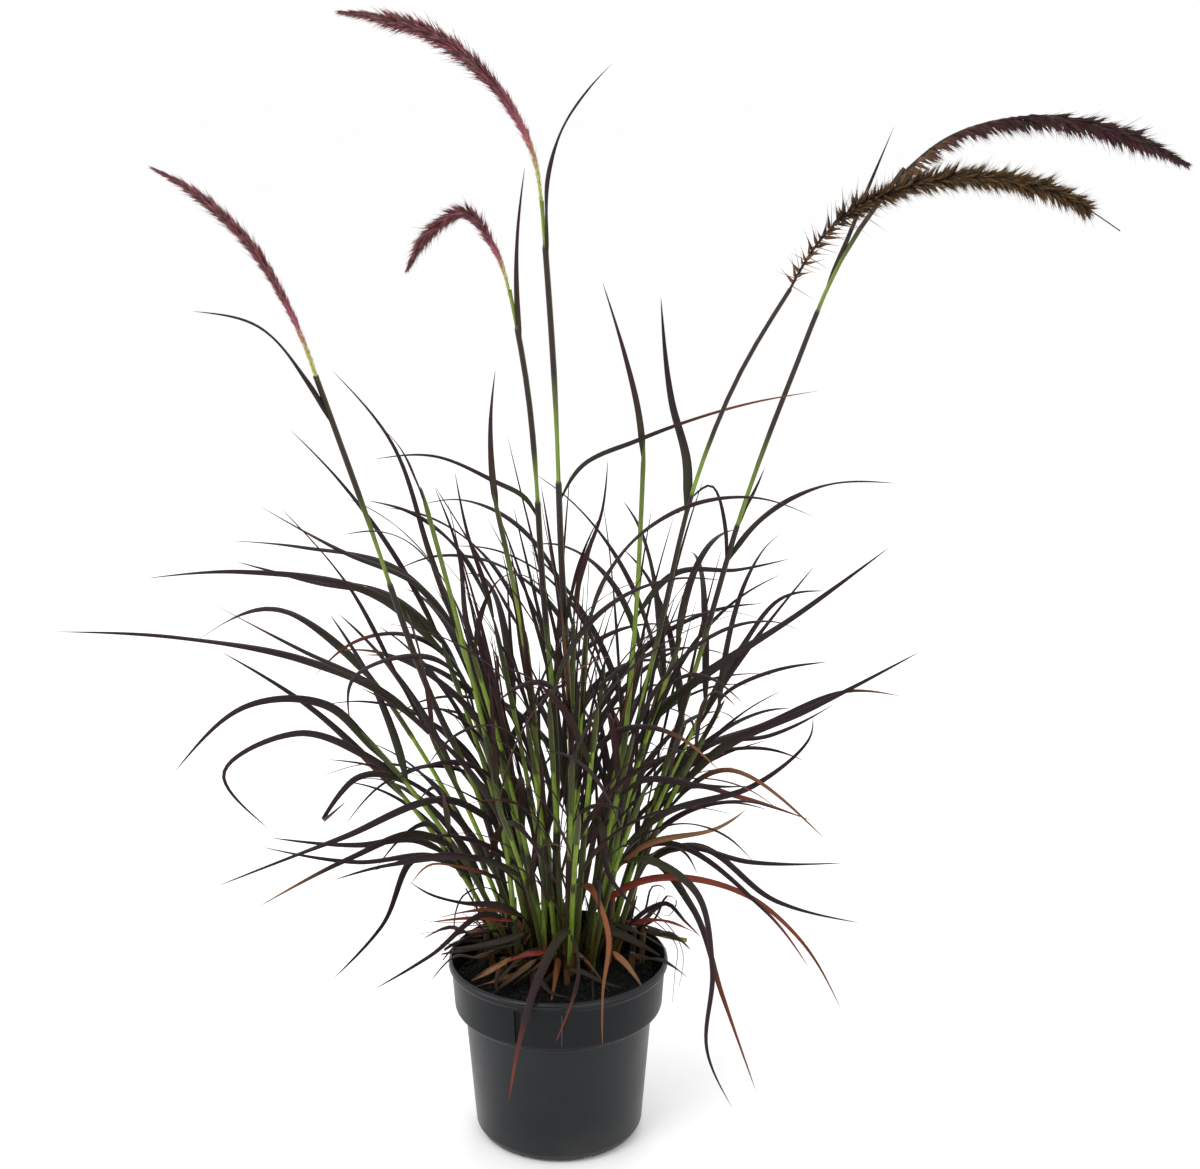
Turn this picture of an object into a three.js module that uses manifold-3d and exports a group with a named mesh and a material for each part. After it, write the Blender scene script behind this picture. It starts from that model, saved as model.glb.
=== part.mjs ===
// Potted purple fountain grass. Millimetres, +Z up, the pot stands on z = 0.
import * as THREE from 'three';
import { mergeVertices } from 'three/addons/utils/BufferGeometryUtils.js';
import Module from 'manifold-3d';

// Driving dimensions of the pot
const LIP_RADIUS = 100;
const POT_HEIGHT = 170;
const BASE_RADIUS = 69.4;
const BAND_TOP_RADIUS = 97;
const BAND_BOTTOM_RADIUS = 94.5;
const BAND_BOTTOM = 125;
const BODY_TOP_RADIUS = 85;
const BODY_BOTTOM_RADIUS = 76.5;
const WALL = 2;
const FLOOR = 5;
const POT_SIDES = 32;
const DRAIN_NOTCHES = 8;
const NOTCH_HEIGHT = 3;
const TAB_FROM = -109;
const TAB_TO = -87;

// Driving dimensions of the soil and the crown of the plant
const GAP = 0.3;
const WELD = 0.001;
const SOIL_TOP = 150;
const SOIL_LUMP = 2.2;
const HOLE_DEPTH = 25;
const CROWN = [6, 34];
const CROWN_REACH = [62, 40];

// Driving dimensions of the shoots
const STEM_SIDES = 5;
const STEM_RADIUS = 3.1;
const TIP_RADIUS = 1.6;
const JOINT_SPACING = 140;
const LEAFY_SHOOTS = 34;
const FILL_REACH = 225;
const BLADE_THICKNESS = 0.9;
const CHANNEL_DEPTH = 0.16;
const BLADE_STEP = 140;
const BLADE_BEND = 0.7;

// Driving dimensions of the plumes
const RACHIS_RADIUS = 2.1;
const PLUME_SIDES = 5;
const SPIKELET_PITCH = 10;
const SPIKELET_LEAN = 13;
const SOCKET_DEPTH = 10;

const COLOURS = {
  pot: { color: 0x3c4046, roughness: 0.45, metalness: 0 },
  soil: { color: 0x1d1713, roughness: 0.95, metalness: 0 },
  culm: { color: 0x7fa83a, roughness: 0.5, metalness: 0 },
  leaf: { color: 0x38161f, roughness: 0.55, metalness: 0 },
  dead: { color: 0x9a6236, roughness: 0.8, metalness: 0 },
  plume: { color: 0x7c3a48, roughness: 0.8, metalness: 0 },
};

// Flowering culms: where each one stands on the soil, and the places it passes further up
const CULMS = [
  { name: 'a', foot: [-40, 30], way: [[-70, 22, 310], [-110, 10, 410], [-165, -10, 595], [-197, -28, 705]] },
  { name: 'b', foot: [14, 34], way: [[10, 26, 405], [4, 18, 545], [0, 10, 680], [-10, 0, 845]] },
  { name: 'c', foot: [-7, 52], way: [[-2, 50, 350], [-12, 50, 490], [-28, 55, 700], [-40, 60, 765]] },
  { name: 'd', foot: [58, 48], way: [[94, 46, 320], [129, 49, 445], [166, 54, 580], [204, 63, 686], [252, 73, 800], [299, 82, 866]] },
  { name: 'e', foot: [44, 14], way: [[61, 12, 334], [90, 10, 474], [123, 7, 618], [153, 4, 696], [196, 0, 773]] },
];

// Plumes: the line of each rachis beyond its culm, the reach of its bristles, how bare its foot is
const PLUMES = [
  { name: 'a', reach: 7, bare: 0, line: [[-213, -39, 757], [-245, -50, 818], [-289, -61, 861], [-314, -66, 876]] },
  { name: 'b', reach: 9.5, bare: 0, line: [[-18, 12, 885], [-45, 28, 932], [-100, 42, 977], [-180, 60, 995]] },
  { name: 'c', reach: 7, bare: 0, line: [[-55, 66, 804], [-76, 72, 829], [-105, 78, 816], [-130, 84, 779]] },
  { name: 'd', reach: 9.5, bare: 0, line: [[337, 95, 891], [405, 108, 908], [477, 121, 898], [560, 140, 865]] },
  { name: 'e', reach: 13, bare: 0.3, line: [[235, -15, 832], [276, -29, 856], [335, -44, 867], [396, -58, 857], [446, -80, 828]] },
];

// Tall leafy shoots that show against the background: foot on the soil and places on the way up
const TALL_SHOOTS = [
  { foot: [-13, 10], way: [[-16, 10, 330], [-32, 8, 485], [-54, 6, 600]] },
  { foot: [-36, 4], way: [[-54, 0, 330], [-78, 0, 450], [-115, 0, 605]] },
  { foot: [33, 38], way: [[52, 34, 290], [66, 32, 430], [76, 30, 640]] },
];

// Leaves read one by one from the picture: root, middle places and tip, then the width
const MARKED_LEAVES = [
  [[[-120, 10, 410], [-215, -5, 450], [-325, -15, 475], [-430, -30, 485]], 8],
  [[[-150, 40, 430], [-280, 55, 515], [-370, 70, 505]], 8],
  [[[-125, 60, 475], [-225, 95, 495], [-300, 130, 505]], 7],
  [[[-120, 40, 495], [-190, 50, 535], [-265, 60, 575]], 7],
  [[[-125, 0, 420], [-175, -30, 525], [-225, -60, 600]], 7],
  [[[-160, 60, 510], [-235, 105, 525], [-310, 150, 520]], 6],
  [[[-125, -10, 420], [-215, -50, 475], [-285, -90, 530]], 8],
  [[[-150, 60, 435], [-250, 115, 460], [-350, 170, 415]], 8],
  [[[-120, -20, 400], [-190, -55, 425], [-255, -95, 440], [-310, -130, 395]], 8.5],
  [[[-120, -20, 370], [-220, -35, 395], [-285, -55, 365], [-245, -70, 320]], 7],
  [[[-125, 20, 325], [-220, 30, 395], [-300, 40, 445]], 7.5],
  [[[-115, -30, 370], [-170, -65, 365], [-195, -95, 340], [-170, -130, 370]], 6.5],
  [[[-115, -30, 425], [-165, -95, 465], [-160, -160, 440]], 6.5],
  [[[-80, -20, 305], [-185, -65, 310], [-285, -110, 285]], 8],
  [[[-95, -30, 285], [-175, -85, 300], [-245, -140, 280]], 7],
  [[[-100, 20, 265], [-180, 20, 268], [-260, 20, 275]], 7],
  [[[-95, -10, 245], [-175, -35, 275], [-255, -60, 300]], 6.5],
  [[[-95, -30, 275], [-140, -75, 290], [-185, -120, 295]], 6.5],
  [[[-100, -20, 250], [-150, -80, 235], [-185, -140, 215]], 7],
  [[[-80, -20, 200], [-110, -65, 200], [-155, -110, 190]], 6],
  [[[-115, 50, 490], [-195, 75, 595], [-240, 100, 635]], 5.5],
  [[[-95, 40, 530], [-145, 50, 635], [-195, 60, 695]], 5.5],
  [[[70, 0, 395], [120, -15, 435], [210, -35, 505], [280, -50, 565]], 9],
  [[[120, 40, 380], [185, 50, 465], [230, 60, 520]], 7],
  [[[140, 60, 430], [205, 80, 485], [245, 100, 485]], 6.5],
  [[[160, 60, 540], [235, 70, 590], [305, 80, 590]], 6],
  [[[110, 60, 490], [165, 100, 505], [215, 140, 505]], 6],
  [[[120, 10, 335], [220, -15, 410], [310, -40, 470]], 8.5],
  [[[120, 40, 335], [185, 55, 370], [265, 65, 400], [315, 80, 390]], 7.5],
  [[[105, -20, 400], [145, -45, 435], [185, -75, 465], [225, -100, 480]], 8],
  [[[130, 50, 320], [195, 85, 350], [260, 120, 370]], 7],
  [[[105, -20, 300], [170, -45, 350], [215, -65, 400], [215, -90, 430]], 7],
  [[[90, -10, 315], [150, -45, 365], [230, -80, 315]], 6.5],
  [[[100, 30, 310], [165, 45, 305], [235, 60, 275]], 6.5],
  [[[75, -30, 275], [135, -70, 320], [160, -110, 355]], 6.5],
  [[[60, -30, 340], [125, -70, 360], [165, -110, 375]], 7.5],
  [[[85, -10, 255], [170, -35, 275], [250, -60, 285]], 7],
  [[[95, 10, 270], [195, -5, 225], [270, -20, 210]], 7.5],
  [[[70, 0, 215], [175, -25, 235], [215, -45, 205], [250, -70, 150]], 7],
  [[[100, 10, 255], [180, -50, 240], [212, -110, 218]], 6],
  [[[55, -30, 295], [120, -60, 260], [135, -90, 200], [130, -120, 135], [150, -150, 100]], 7.5],
  [[[88, 34, 240], [122, 30, 204], [150, 8, 126], [180, -30, 48]], 8],
  [[[10, -30, 225], [-15, -88, 190], [-30, -122, 150], [-40, -142, 100]], 9],
  [[[25, -30, 205], [20, -80, 196], [0, -130, 150]], 7],
  [[[40, -30, 245], [45, -70, 222], [40, -110, 185], [40, -135, 150]], 7],
  [[[25, -30, 345], [45, -60, 275], [75, -90, 250]], 7.5],
  [[[75, 30, 640], [60, 30, 710], [40, 30, 775]], 6],
  [[[115, 50, 590], [100, 50, 670], [90, 50, 760]], 8.5],
  [[[-55, 10, 600], [-55, 5, 655], [-50, 0, 705]], 6],
  [[[-115, 0, 605], [-130, -10, 640], [-150, -20, 665]], 6],
  [[[160, 60, 550], [135, 50, 595], [105, 40, 570]], 4.5],
  [[[165, 60, 560], [175, 70, 585], [185, 80, 605]], 4.5],
  [[[-70, 20, 480], [-85, 20, 540], [-105, 20, 600]], 5],
  [[[-65, 60, 490], [-80, 60, 550], [-90, 60, 605]], 5],
  [[[30, 80, 520], [40, 85, 565], [45, 90, 610]], 5],
  [[[-205, -30, 725], [-240, -60, 752], [-285, -80, 765]], 6],
  [[[-8, 4, 830], [-4, -17, 868], [8, -22, 905], [28, -26, 934], [48, -30, 955]], 6],
  [[[5, 20, 605], [70, 25, 640], [165, 35, 670], [225, 40, 680]], 4.5],
  [[[-38, 60, 755], [-32, 50, 815], [-25, 40, 870]], 5],
  [[[-20, 55, 580], [-55, 65, 595], [-110, 80, 615], [-165, 90, 610]], 4.5],
  [[[235, 62, 770], [268, 78, 850], [292, 105, 900]], 5],
];

// Old shoots at the foot of the plant: place on the soil, height of the stub, way of its dry leaf
const DEAD_SHOOTS = [
  { foot: [-66, 24], stub: 34, leaf: [[-78, 18, 182], [-98, 10, 192], [-124, 0, 184]] },
  { foot: [-60, 2], stub: 22, leaf: [[-72, -14, 174], [-92, -34, 184], [-112, -50, 168]] },
  { foot: [-48, -20], stub: 26, leaf: [[-52, -36, 172], [-54, -52, 167], [-52, -62, 162]] },
  { foot: [-22, -28], stub: 18, leaf: [[-16, -42, 166], [-4, -58, 160], [14, -66, 160]] },
  { foot: [8, -26], stub: 20, leaf: [[24, -34, 168], [42, -46, 164], [58, -52, 162]] },
  { foot: [66, -6], stub: 24, leaf: [[76, -20, 176], [94, -38, 182], [116, -48, 170]] },
  { foot: [76, 18], stub: 40, leaf: [[86, 10, 186], [102, -2, 191], [120, -18, 182]] },
  { foot: [68, 36], stub: 30, leaf: [[80, 46, 184], [96, 60, 192], [110, 74, 184]] },
];

const wasm = await Module();
wasm.setup();

// Small vector and number helpers
const add = (a, b) => [a[0] + b[0], a[1] + b[1], a[2] + b[2]];
const sub = (a, b) => [a[0] - b[0], a[1] - b[1], a[2] - b[2]];
const scale = (a, s) => [a[0] * s, a[1] * s, a[2] * s];
const dot = (a, b) => a[0] * b[0] + a[1] * b[1] + a[2] * b[2];
const cross = (a, b) => [a[1] * b[2] - a[2] * b[1], a[2] * b[0] - a[0] * b[2], a[0] * b[1] - a[1] * b[0]];
const size = (a) => Math.sqrt(dot(a, a));
const unit = (a) => scale(a, 1 / size(a));
const mix = (a, b, t) => add(scale(a, 1 - t), scale(b, t));
const radians = (degrees) => degrees * Math.PI / 180;
const clamp = (value, low, high) => Math.min(Math.max(value, low), high);

// A small repeatable source of numbers between 0 and 1
function randomSource(seed) {
  let state = seed;
  return () => {
    state = (Math.imul(state, 1664525) + 1013904223) >>> 0;
    return state / 4294967296;
  };
}

// Travel at each place of a smooth curve that passes through all of them
function slopesAt(places, gaps) {
  const steady = gaps.map((gap, i) => scale(sub(places[i + 1], places[i]), 1 / gap));
  const last = places.length - 1;
  const slopes = places.map((_, i) => {
    if (i === 0 || i === last) return steady[Math.min(i, last - 1)];
    return mix(steady[i - 1], steady[i], gaps[i - 1] / (gaps[i - 1] + gaps[i]));
  });
  if (last > 1) {
    slopes[0] = sub(scale(steady[0], 1.5), scale(slopes[1], 0.5));
    slopes[last] = sub(scale(steady[last - 1], 1.5), scale(slopes[last - 1], 0.5));
  }
  return slopes;
}

// The smooth curve as a fine chain of points
function fineChain(places) {
  const gaps = places.slice(1).map((place, i) => size(sub(place, places[i])));
  const slopes = slopesAt(places, gaps);
  const chain = [places[0]];
  gaps.forEach((gap, i) => {
    for (let k = 1; k <= 12; k += 1) {
      const t = k / 12;
      const ease = t * t * (3 - 2 * t);
      const leave = scale(slopes[i], gap * t * (1 - t) * (1 - t));
      const arrive = scale(slopes[i + 1], gap * t * t * (t - 1));
      chain.push(add(mix(places[i], places[i + 1], ease), add(leave, arrive)));
    }
  });
  return chain;
}

// How far a chain turns in all, in radians
function bendOf(chain) {
  let bend = 0;
  for (let i = 2; i < chain.length; i += 1) {
    const before = unit(sub(chain[i - 1], chain[i - 2]));
    const after = unit(sub(chain[i], chain[i - 1]));
    bend += Math.acos(clamp(dot(before, after), -1, 1));
  }
  return bend;
}

function evenPath(places, count) {
  return resample(fineChain(places), Array.from({ length: count + 1 }, (_, i) => i / count));
}

// Points of a chain at the given fractions of its length
function resample(chain, fractions) {
  const along = [0];
  for (let i = 1; i < chain.length; i += 1) {
    along.push(along[i - 1] + size(sub(chain[i], chain[i - 1])));
  }
  const total = along[along.length - 1];
  let i = 1;
  return fractions.map((fraction) => {
    while (i < chain.length - 1 && along[i] < fraction * total) i += 1;
    const t = (fraction * total - along[i - 1]) / (along[i] - along[i - 1]);
    return mix(chain[i - 1], chain[i], t);
  });
}

function pathLength(chain) {
  let total = 0;
  for (let i = 1; i < chain.length; i += 1) total += size(sub(chain[i], chain[i - 1]));
  return total;
}

// Direction of travel at every point of a chain
function tangents(chain) {
  const last = chain.length - 1;
  return chain.map((_, i) => unit(sub(chain[Math.min(i + 1, last)], chain[Math.max(i - 1, 0)])));
}

// A sideways direction carried along a chain without spinning, then turned by the roll and twist
function sideways(chain, first, roll = 0, twist = 0) {
  const ways = tangents(chain);
  let side = first;
  return ways.map((way, i) => {
    side = unit(sub(side, scale(way, dot(side, way))));
    const turn = roll + twist * i / (chain.length - 1);
    return add(scale(side, Math.cos(turn)), scale(cross(way, side), Math.sin(turn)));
  });
}

// Solids as plain lists of points and triangles
function toManifold(solid) {
  return new wasm.Manifold(new wasm.Mesh({
    numProp: 3,
    vertProperties: new Float32Array(solid.points.flat()),
    triVerts: new Uint32Array(solid.faces.flat()),
  }));
}

function fuse(solids) {
  const whole = wasm.Manifold.union(solids.map(toManifold));
  const bodies = whole.decompose();
  bodies.sort((a, b) => b.volume() - a.volume());
  return bodies[0];
}

// Faces by corner number, with corners a thousandth of a millimetre apart taken as one
function weldedFaces(manifold) {
  const mesh = manifold.getMesh();
  const geometry = new THREE.BufferGeometry();
  geometry.setAttribute('position', new THREE.BufferAttribute(mesh.vertProperties, 3));
  geometry.setIndex(new THREE.BufferAttribute(mesh.triVerts, 1));
  return mergeVertices(geometry, WELD).index.array;
}

// Once welded, every edge must still join exactly two faces
function staysClosed(manifold) {
  const corners = weldedFaces(manifold);
  const edges = new Set();
  for (let t = 0; t < corners.length; t += 3) {
    const face = [corners[t], corners[t + 1], corners[t + 2]];
    if (new Set(face).size < 3) continue;
    for (let k = 0; k < 3; k += 1) {
      const edge = `${face[k]}>${face[(k + 1) % 3]}`;
      if (edges.has(edge)) return false;
      edges.add(edge);
    }
  }
  return [...edges].every((edge) => edges.has(edge.split('>').reverse().join('>')));
}

// The point of a line of straight pieces that lies nearest to a given one
function nearestOnLine(line, point) {
  let best = line[0];
  for (let i = 1; i < line.length; i += 1) {
    const run = sub(line[i], line[i - 1]);
    const t = clamp(dot(sub(point, line[i - 1]), run) / dot(run, run), 0, 1);
    const spot = mix(line[i - 1], line[i], t);
    if (size(sub(point, spot)) < size(sub(point, best))) best = spot;
  }
  return best;
}

// Every blade grows out of the middle of its stem's bar
function sunkBlades(shoot, wider) {
  const { line } = stemStations(shoot);
  return shoot.blades.map((blade) => {
    const chain = [nearestOnLine(line, blade.chain[0]), ...blade.chain.slice(1)];
    return bladeSolid({ ...blade, chain, width: blade.width * wider });
  });
}

// A fused shoot; where a sliver would not weld, the blades are made a hair wider and fused again
function shootBody(shoot) {
  for (let attempt = 0; attempt < 12; attempt += 1) {
    const blades = sunkBlades(shoot, 1 + 0.004 * attempt);
    const body = fuse([stemBar(shoot), ...blades]);
    if (staysClosed(body)) return body;
  }
  throw new Error(`${shoot.name} does not close`);
}

function toMesh(name, manifold, look) {
  const mesh = manifold.getMesh();
  const geometry = new THREE.BufferGeometry();
  geometry.setAttribute('position', new THREE.BufferAttribute(mesh.vertProperties, 3));
  geometry.setIndex(new THREE.BufferAttribute(mesh.triVerts, 1));
  geometry.computeVertexNormals();
  const result = new THREE.Mesh(geometry, new THREE.MeshStandardMaterial(COLOURS[look]));
  result.name = name;
  return result;
}

// Walls between rings of equal count, ring after ring
function joinRings(faces, first, second, count) {
  for (let j = 0; j < count; j += 1) {
    const k = (j + 1) % count;
    faces.push([first + j, first + k, second + k], [first + j, second + k, second + j]);
  }
}

function fanCap(faces, ring, count, facesUp) {
  for (let j = 1; j < count - 1; j += 1) {
    faces.push(facesUp ? [ring, ring + j, ring + j + 1] : [ring, ring + j + 1, ring + j]);
  }
}

// A closed profile of [radius, height] turned about the Z axis; it starts and ends on the axis
function turned(profile, sides) {
  const points = [[0, 0, profile[0][1]]];
  const faces = [];
  const rings = profile.slice(1, -1);
  for (const [radius, height] of rings) {
    for (let j = 0; j < sides; j += 1) {
      const angle = 2 * Math.PI * j / sides;
      points.push([radius * Math.cos(angle), radius * Math.sin(angle), height]);
    }
  }
  points.push([0, 0, profile[profile.length - 1][1]]);
  const end = points.length - 1;
  for (let j = 0; j < sides; j += 1) {
    const k = (j + 1) % sides;
    faces.push([0, 1 + k, 1 + j], [end, end - sides + j, end - sides + k]);
  }
  for (let i = 1; i < rings.length; i += 1) joinRings(faces, 1 + (i - 1) * sides, 1 + i * sides, sides);
  return { points, faces };
}

// A closed profile of [radius, height] swept through part of a turn
function sector(profile, fromAngle, toAngle, steps) {
  const points = [];
  const faces = [];
  const count = profile.length;
  for (let i = 0; i <= steps; i += 1) {
    const angle = radians(fromAngle + (toAngle - fromAngle) * i / steps);
    for (const [radius, height] of profile) {
      points.push([radius * Math.cos(angle), radius * Math.sin(angle), height]);
    }
  }
  for (let i = 0; i < steps; i += 1) joinRings(faces, (i + 1) * count, i * count, count);
  fanCap(faces, 0, count, true);
  fanCap(faces, steps * count, count, false);
  return { points, faces };
}

// Pot
function potProfile() {
  const lipTop = POT_HEIGHT;
  const lipBottom = POT_HEIGHT - 9;
  const outer = [
    [0, 0], [BASE_RADIUS, 0], [BASE_RADIUS + 3.6, 3], [BODY_BOTTOM_RADIUS, 9],
    [BODY_TOP_RADIUS, BAND_BOTTOM - 8], [BODY_TOP_RADIUS + 2.6, BAND_BOTTOM - 5.4],
    [BAND_BOTTOM_RADIUS - 2, BAND_BOTTOM - 3], [BAND_BOTTOM_RADIUS, BAND_BOTTOM],
    [BAND_TOP_RADIUS, lipBottom], [LIP_RADIUS - 1.6, lipBottom + 0.8],
    [LIP_RADIUS, lipBottom + 3.4], [LIP_RADIUS - 0.9, lipTop - 1.6], [LIP_RADIUS - 3.2, lipTop],
  ];
  const inner = [
    [BAND_TOP_RADIUS - 0.5, lipTop - 1.2], [BAND_TOP_RADIUS - WALL, lipTop - 5],
    [BAND_BOTTOM_RADIUS - WALL, BAND_BOTTOM + 1], [BODY_TOP_RADIUS - WALL, BAND_BOTTOM - 5],
    [BODY_BOTTOM_RADIUS - WALL, 10], [BASE_RADIUS - 1, FLOOR], [0, FLOOR],
  ];
  return { outer, inner };
}

function drainNotches() {
  const notch = [[BASE_RADIUS - 9, -1], [BASE_RADIUS + 9, -1],
    [BASE_RADIUS + 9, NOTCH_HEIGHT], [BASE_RADIUS - 9, NOTCH_HEIGHT]];
  return Array.from({ length: DRAIN_NOTCHES }, (_, i) => {
    const middle = 22.5 + 45 * i;
    return sector(notch, middle - 4, middle + 4, 1);
  });
}

function labelTab() {
  const low = BAND_BOTTOM + 2;
  const face = [[BAND_BOTTOM_RADIUS - 1, low], [BAND_BOTTOM_RADIUS + 1.2, low],
    [BAND_TOP_RADIUS + 1.2, POT_HEIGHT - 8], [BAND_TOP_RADIUS - 1, POT_HEIGHT - 8]];
  const ledge = [[LIP_RADIUS - 3, POT_HEIGHT - 7.5], [LIP_RADIUS + 0.9, POT_HEIGHT - 7.5],
    [LIP_RADIUS + 0.9, POT_HEIGHT - 2.5], [LIP_RADIUS - 3, POT_HEIGHT - 2.5]];
  return [sector(face, TAB_FROM, TAB_TO, 4), sector(ledge, TAB_FROM, TAB_TO, 4)];
}

function tabSlot() {
  const cut = [[BAND_BOTTOM_RADIUS - 0.6, BAND_BOTTOM + 3], [BAND_TOP_RADIUS + 2, BAND_BOTTOM + 3],
    [BAND_TOP_RADIUS + 2, POT_HEIGHT - 11], [BAND_TOP_RADIUS - 0.6, POT_HEIGHT - 11]];
  return sector(cut, TAB_FROM - 1.4, TAB_FROM, 1);
}

function makePot() {
  const { outer, inner } = potProfile();
  const shell = toManifold(turned([...outer, ...inner], POT_SIDES));
  const withTab = wasm.Manifold.union([shell, ...labelTab().map(toManifold)]);
  const cuts = wasm.Manifold.union([tabSlot(), ...drainNotches()].map(toManifold));
  return wasm.Manifold.difference([withTab, cuts]);
}

// Soil, with a plain hole for each stem
function soilHeight(radius, angle) {
  const wave = Math.sin(3 * angle + 0.11 * radius) + Math.sin(5 * angle - 0.17 * radius + 1);
  const rise = radius < 60 ? 1.5 : 1.5 - (radius - 60) * 0.12;
  return SOIL_TOP + rise + SOIL_LUMP * 0.5 * wave;
}

function soilBody() {
  const { inner } = potProfile();
  const walls = inner.slice(2, -1).reverse().map(([radius, height]) => [radius - GAP, height + GAP]);
  const topRadius = BAND_BOTTOM_RADIUS - WALL + 1.2 - GAP;
  const solid = turned([[0, FLOOR + GAP], ...walls, [topRadius, SOIL_TOP - 3],
    [70, SOIL_TOP], [52, SOIL_TOP], [34, SOIL_TOP], [16, SOIL_TOP], [0, SOIL_TOP + 1.5]], POT_SIDES / 2);
  const lumpy = solid.points.map(([x, y, z]) => {
    const radius = Math.hypot(x, y);
    const onTop = z > SOIL_TOP - 4 && radius > 1;
    return onTop ? [x, y, soilHeight(radius, Math.atan2(y, x)) + z - SOIL_TOP] : [x, y, z];
  });
  return { points: lumpy, faces: solid.faces };
}

function stemHole(foot, radius) {
  const reach = radius + GAP + 0.2;
  const low = [foot[0], foot[1], SOIL_TOP - HOLE_DEPTH - 0.5];
  const high = [foot[0], foot[1], SOIL_TOP + 12];
  return tube([low, high], [reach, reach]);
}

function makeSoil(shoots) {
  const holes = shoots.map((shoot) => toManifold(stemHole(shoot.foot, shoot.radius)));
  return wasm.Manifold.difference([toManifold(soilBody()), wasm.Manifold.union(holes)]);
}

// A round bar of few sides along a chain
function tube(chain, radii) {
  const points = [];
  const faces = [];
  const sides = sideways(chain, [1, 0, 0]);
  const ways = tangents(chain);
  chain.forEach((centre, i) => {
    const across = cross(ways[i], sides[i]);
    for (let j = 0; j < STEM_SIDES; j += 1) {
      const angle = 2 * Math.PI * j / STEM_SIDES;
      const out = add(scale(sides[i], Math.cos(angle)), scale(across, Math.sin(angle)));
      points.push(add(centre, scale(out, radii[i])));
    }
  });
  for (let i = 1; i < chain.length; i += 1) {
    joinRings(faces, (i - 1) * STEM_SIDES, i * STEM_SIDES, STEM_SIDES);
  }
  fanCap(faces, 0, STEM_SIDES, false);
  fanCap(faces, (chain.length - 1) * STEM_SIDES, STEM_SIDES, true);
  return { points, faces };
}

// Stations of a stem: in the soil, then a sheath that swells to each joint and steps in above it
function stemStations(shoot) {
  const joints = Math.max(1, Math.round(shoot.length / JOINT_SPACING));
  const fractions = [0, (HOLE_DEPTH + 6) / shoot.length];
  const radii = [shoot.radius, shoot.radius];
  for (let i = 1; i <= joints; i += 1) {
    const at = fractions[1] + (1 - fractions[1]) * i / joints;
    const slim = shoot.radius + (shoot.tip - shoot.radius) * Math.sqrt(at);
    fractions.push(at);
    radii.push(slim + (i < joints ? 0.45 : 0));
    if (i < joints) {
      fractions.push(at + 4 / shoot.length);
      radii.push(slim);
    }
  }
  return { line: resample(shoot.chain, fractions), radii };
}

function stemBar(shoot) {
  const { line, radii } = stemStations(shoot);
  return tube(line, radii);
}

// Width of a blade along its length, as a share of its full width
function bladeShape(u) {
  const root = 0.3 + 0.7 * Math.min(u / 0.14, 1);
  return root * Math.min(1, 1.25 * Math.pow(1 - u, 0.62));
}

// A strap leaf: a shallow channel of diamond section that ends in a point
function bladeSolid(blade) {
  const points = [];
  const faces = [];
  const last = blade.chain.length - 1;
  const ways = tangents(blade.chain);
  blade.chain.slice(0, last).forEach((centre, i) => {
    const half = blade.width / 2 * bladeShape(i / last);
    const face = unit(cross(blade.sides[i], ways[i]));
    const lift = scale(face, -CHANNEL_DEPTH * 2 * half);
    const thick = scale(face, BLADE_THICKNESS / 2);
    points.push(add(sub(centre, scale(blade.sides[i], half)), scale(lift, -0.5)));
    points.push(add(add(centre, scale(lift, 0.5)), thick));
    points.push(add(add(centre, scale(blade.sides[i], half)), scale(lift, -0.5)));
    points.push(sub(add(centre, scale(lift, 0.5)), thick));
  });
  points.push(blade.chain[last]);
  for (let i = 1; i < last; i += 1) mirroredStrip(faces, 4 * (i - 1), 4 * i);
  fanCap(faces, 0, 4, false);
  const tip = points.length - 1;
  for (let j = 0; j < 4; j += 1) faces.push([tip - 4 + j, tip - 4 + (j + 1) % 4, tip]);
  return { points, faces };
}

// Both faces of a blade are split along the same diagonals
function mirroredStrip(faces, first, second) {
  const [left, top, right, under] = [0, 1, 2, 3];
  for (const mid of [top, under]) {
    const flip = mid === under;
    const cells = [[left, mid], [mid, right]];
    for (const [a, b] of cells) {
      const one = [first + a, second + b, second + a];
      const two = [first + a, first + b, second + b];
      faces.push(flip ? one.reverse() : one, flip ? two.reverse() : two);
    }
  }
}

// Points that stand for a stem or blade when room is looked for: [x, y, z, radius]
function stemMarks(shoot) {
  const count = Math.ceil(shoot.length / 5);
  return evenMarks(shoot.chain, count).map(([x, y, z], i) => {
    const radius = shoot.radius + (shoot.tip - shoot.radius) * i / count;
    return [x, y, z, radius + 1.1];
  });
}

function evenMarks(chain, count) {
  return resample(chain, Array.from({ length: count + 1 }, (_, i) => i / count));
}

function bladeMarks(blade) {
  const last = blade.chain.length - 1;
  const marks = [];
  for (let i = 0; i < last; i += 1) {
    const steps = Math.ceil(size(sub(blade.chain[i + 1], blade.chain[i])) / 5);
    for (let k = 0; k < steps; k += 1) {
      const t = k / steps;
      const half = blade.width / 2 * bladeShape((i + t) / last);
      const centre = mix(blade.chain[i], blade.chain[i + 1], t);
      const side = mix(blade.sides[i], blade.sides[i + 1], t);
      const reach = 1.7 + 0.25 * half;
      for (const share of [-0.72, 0, 0.72]) marks.push([...add(centre, scale(side, share * half)), reach]);
    }
  }
  return marks;
}

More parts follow.
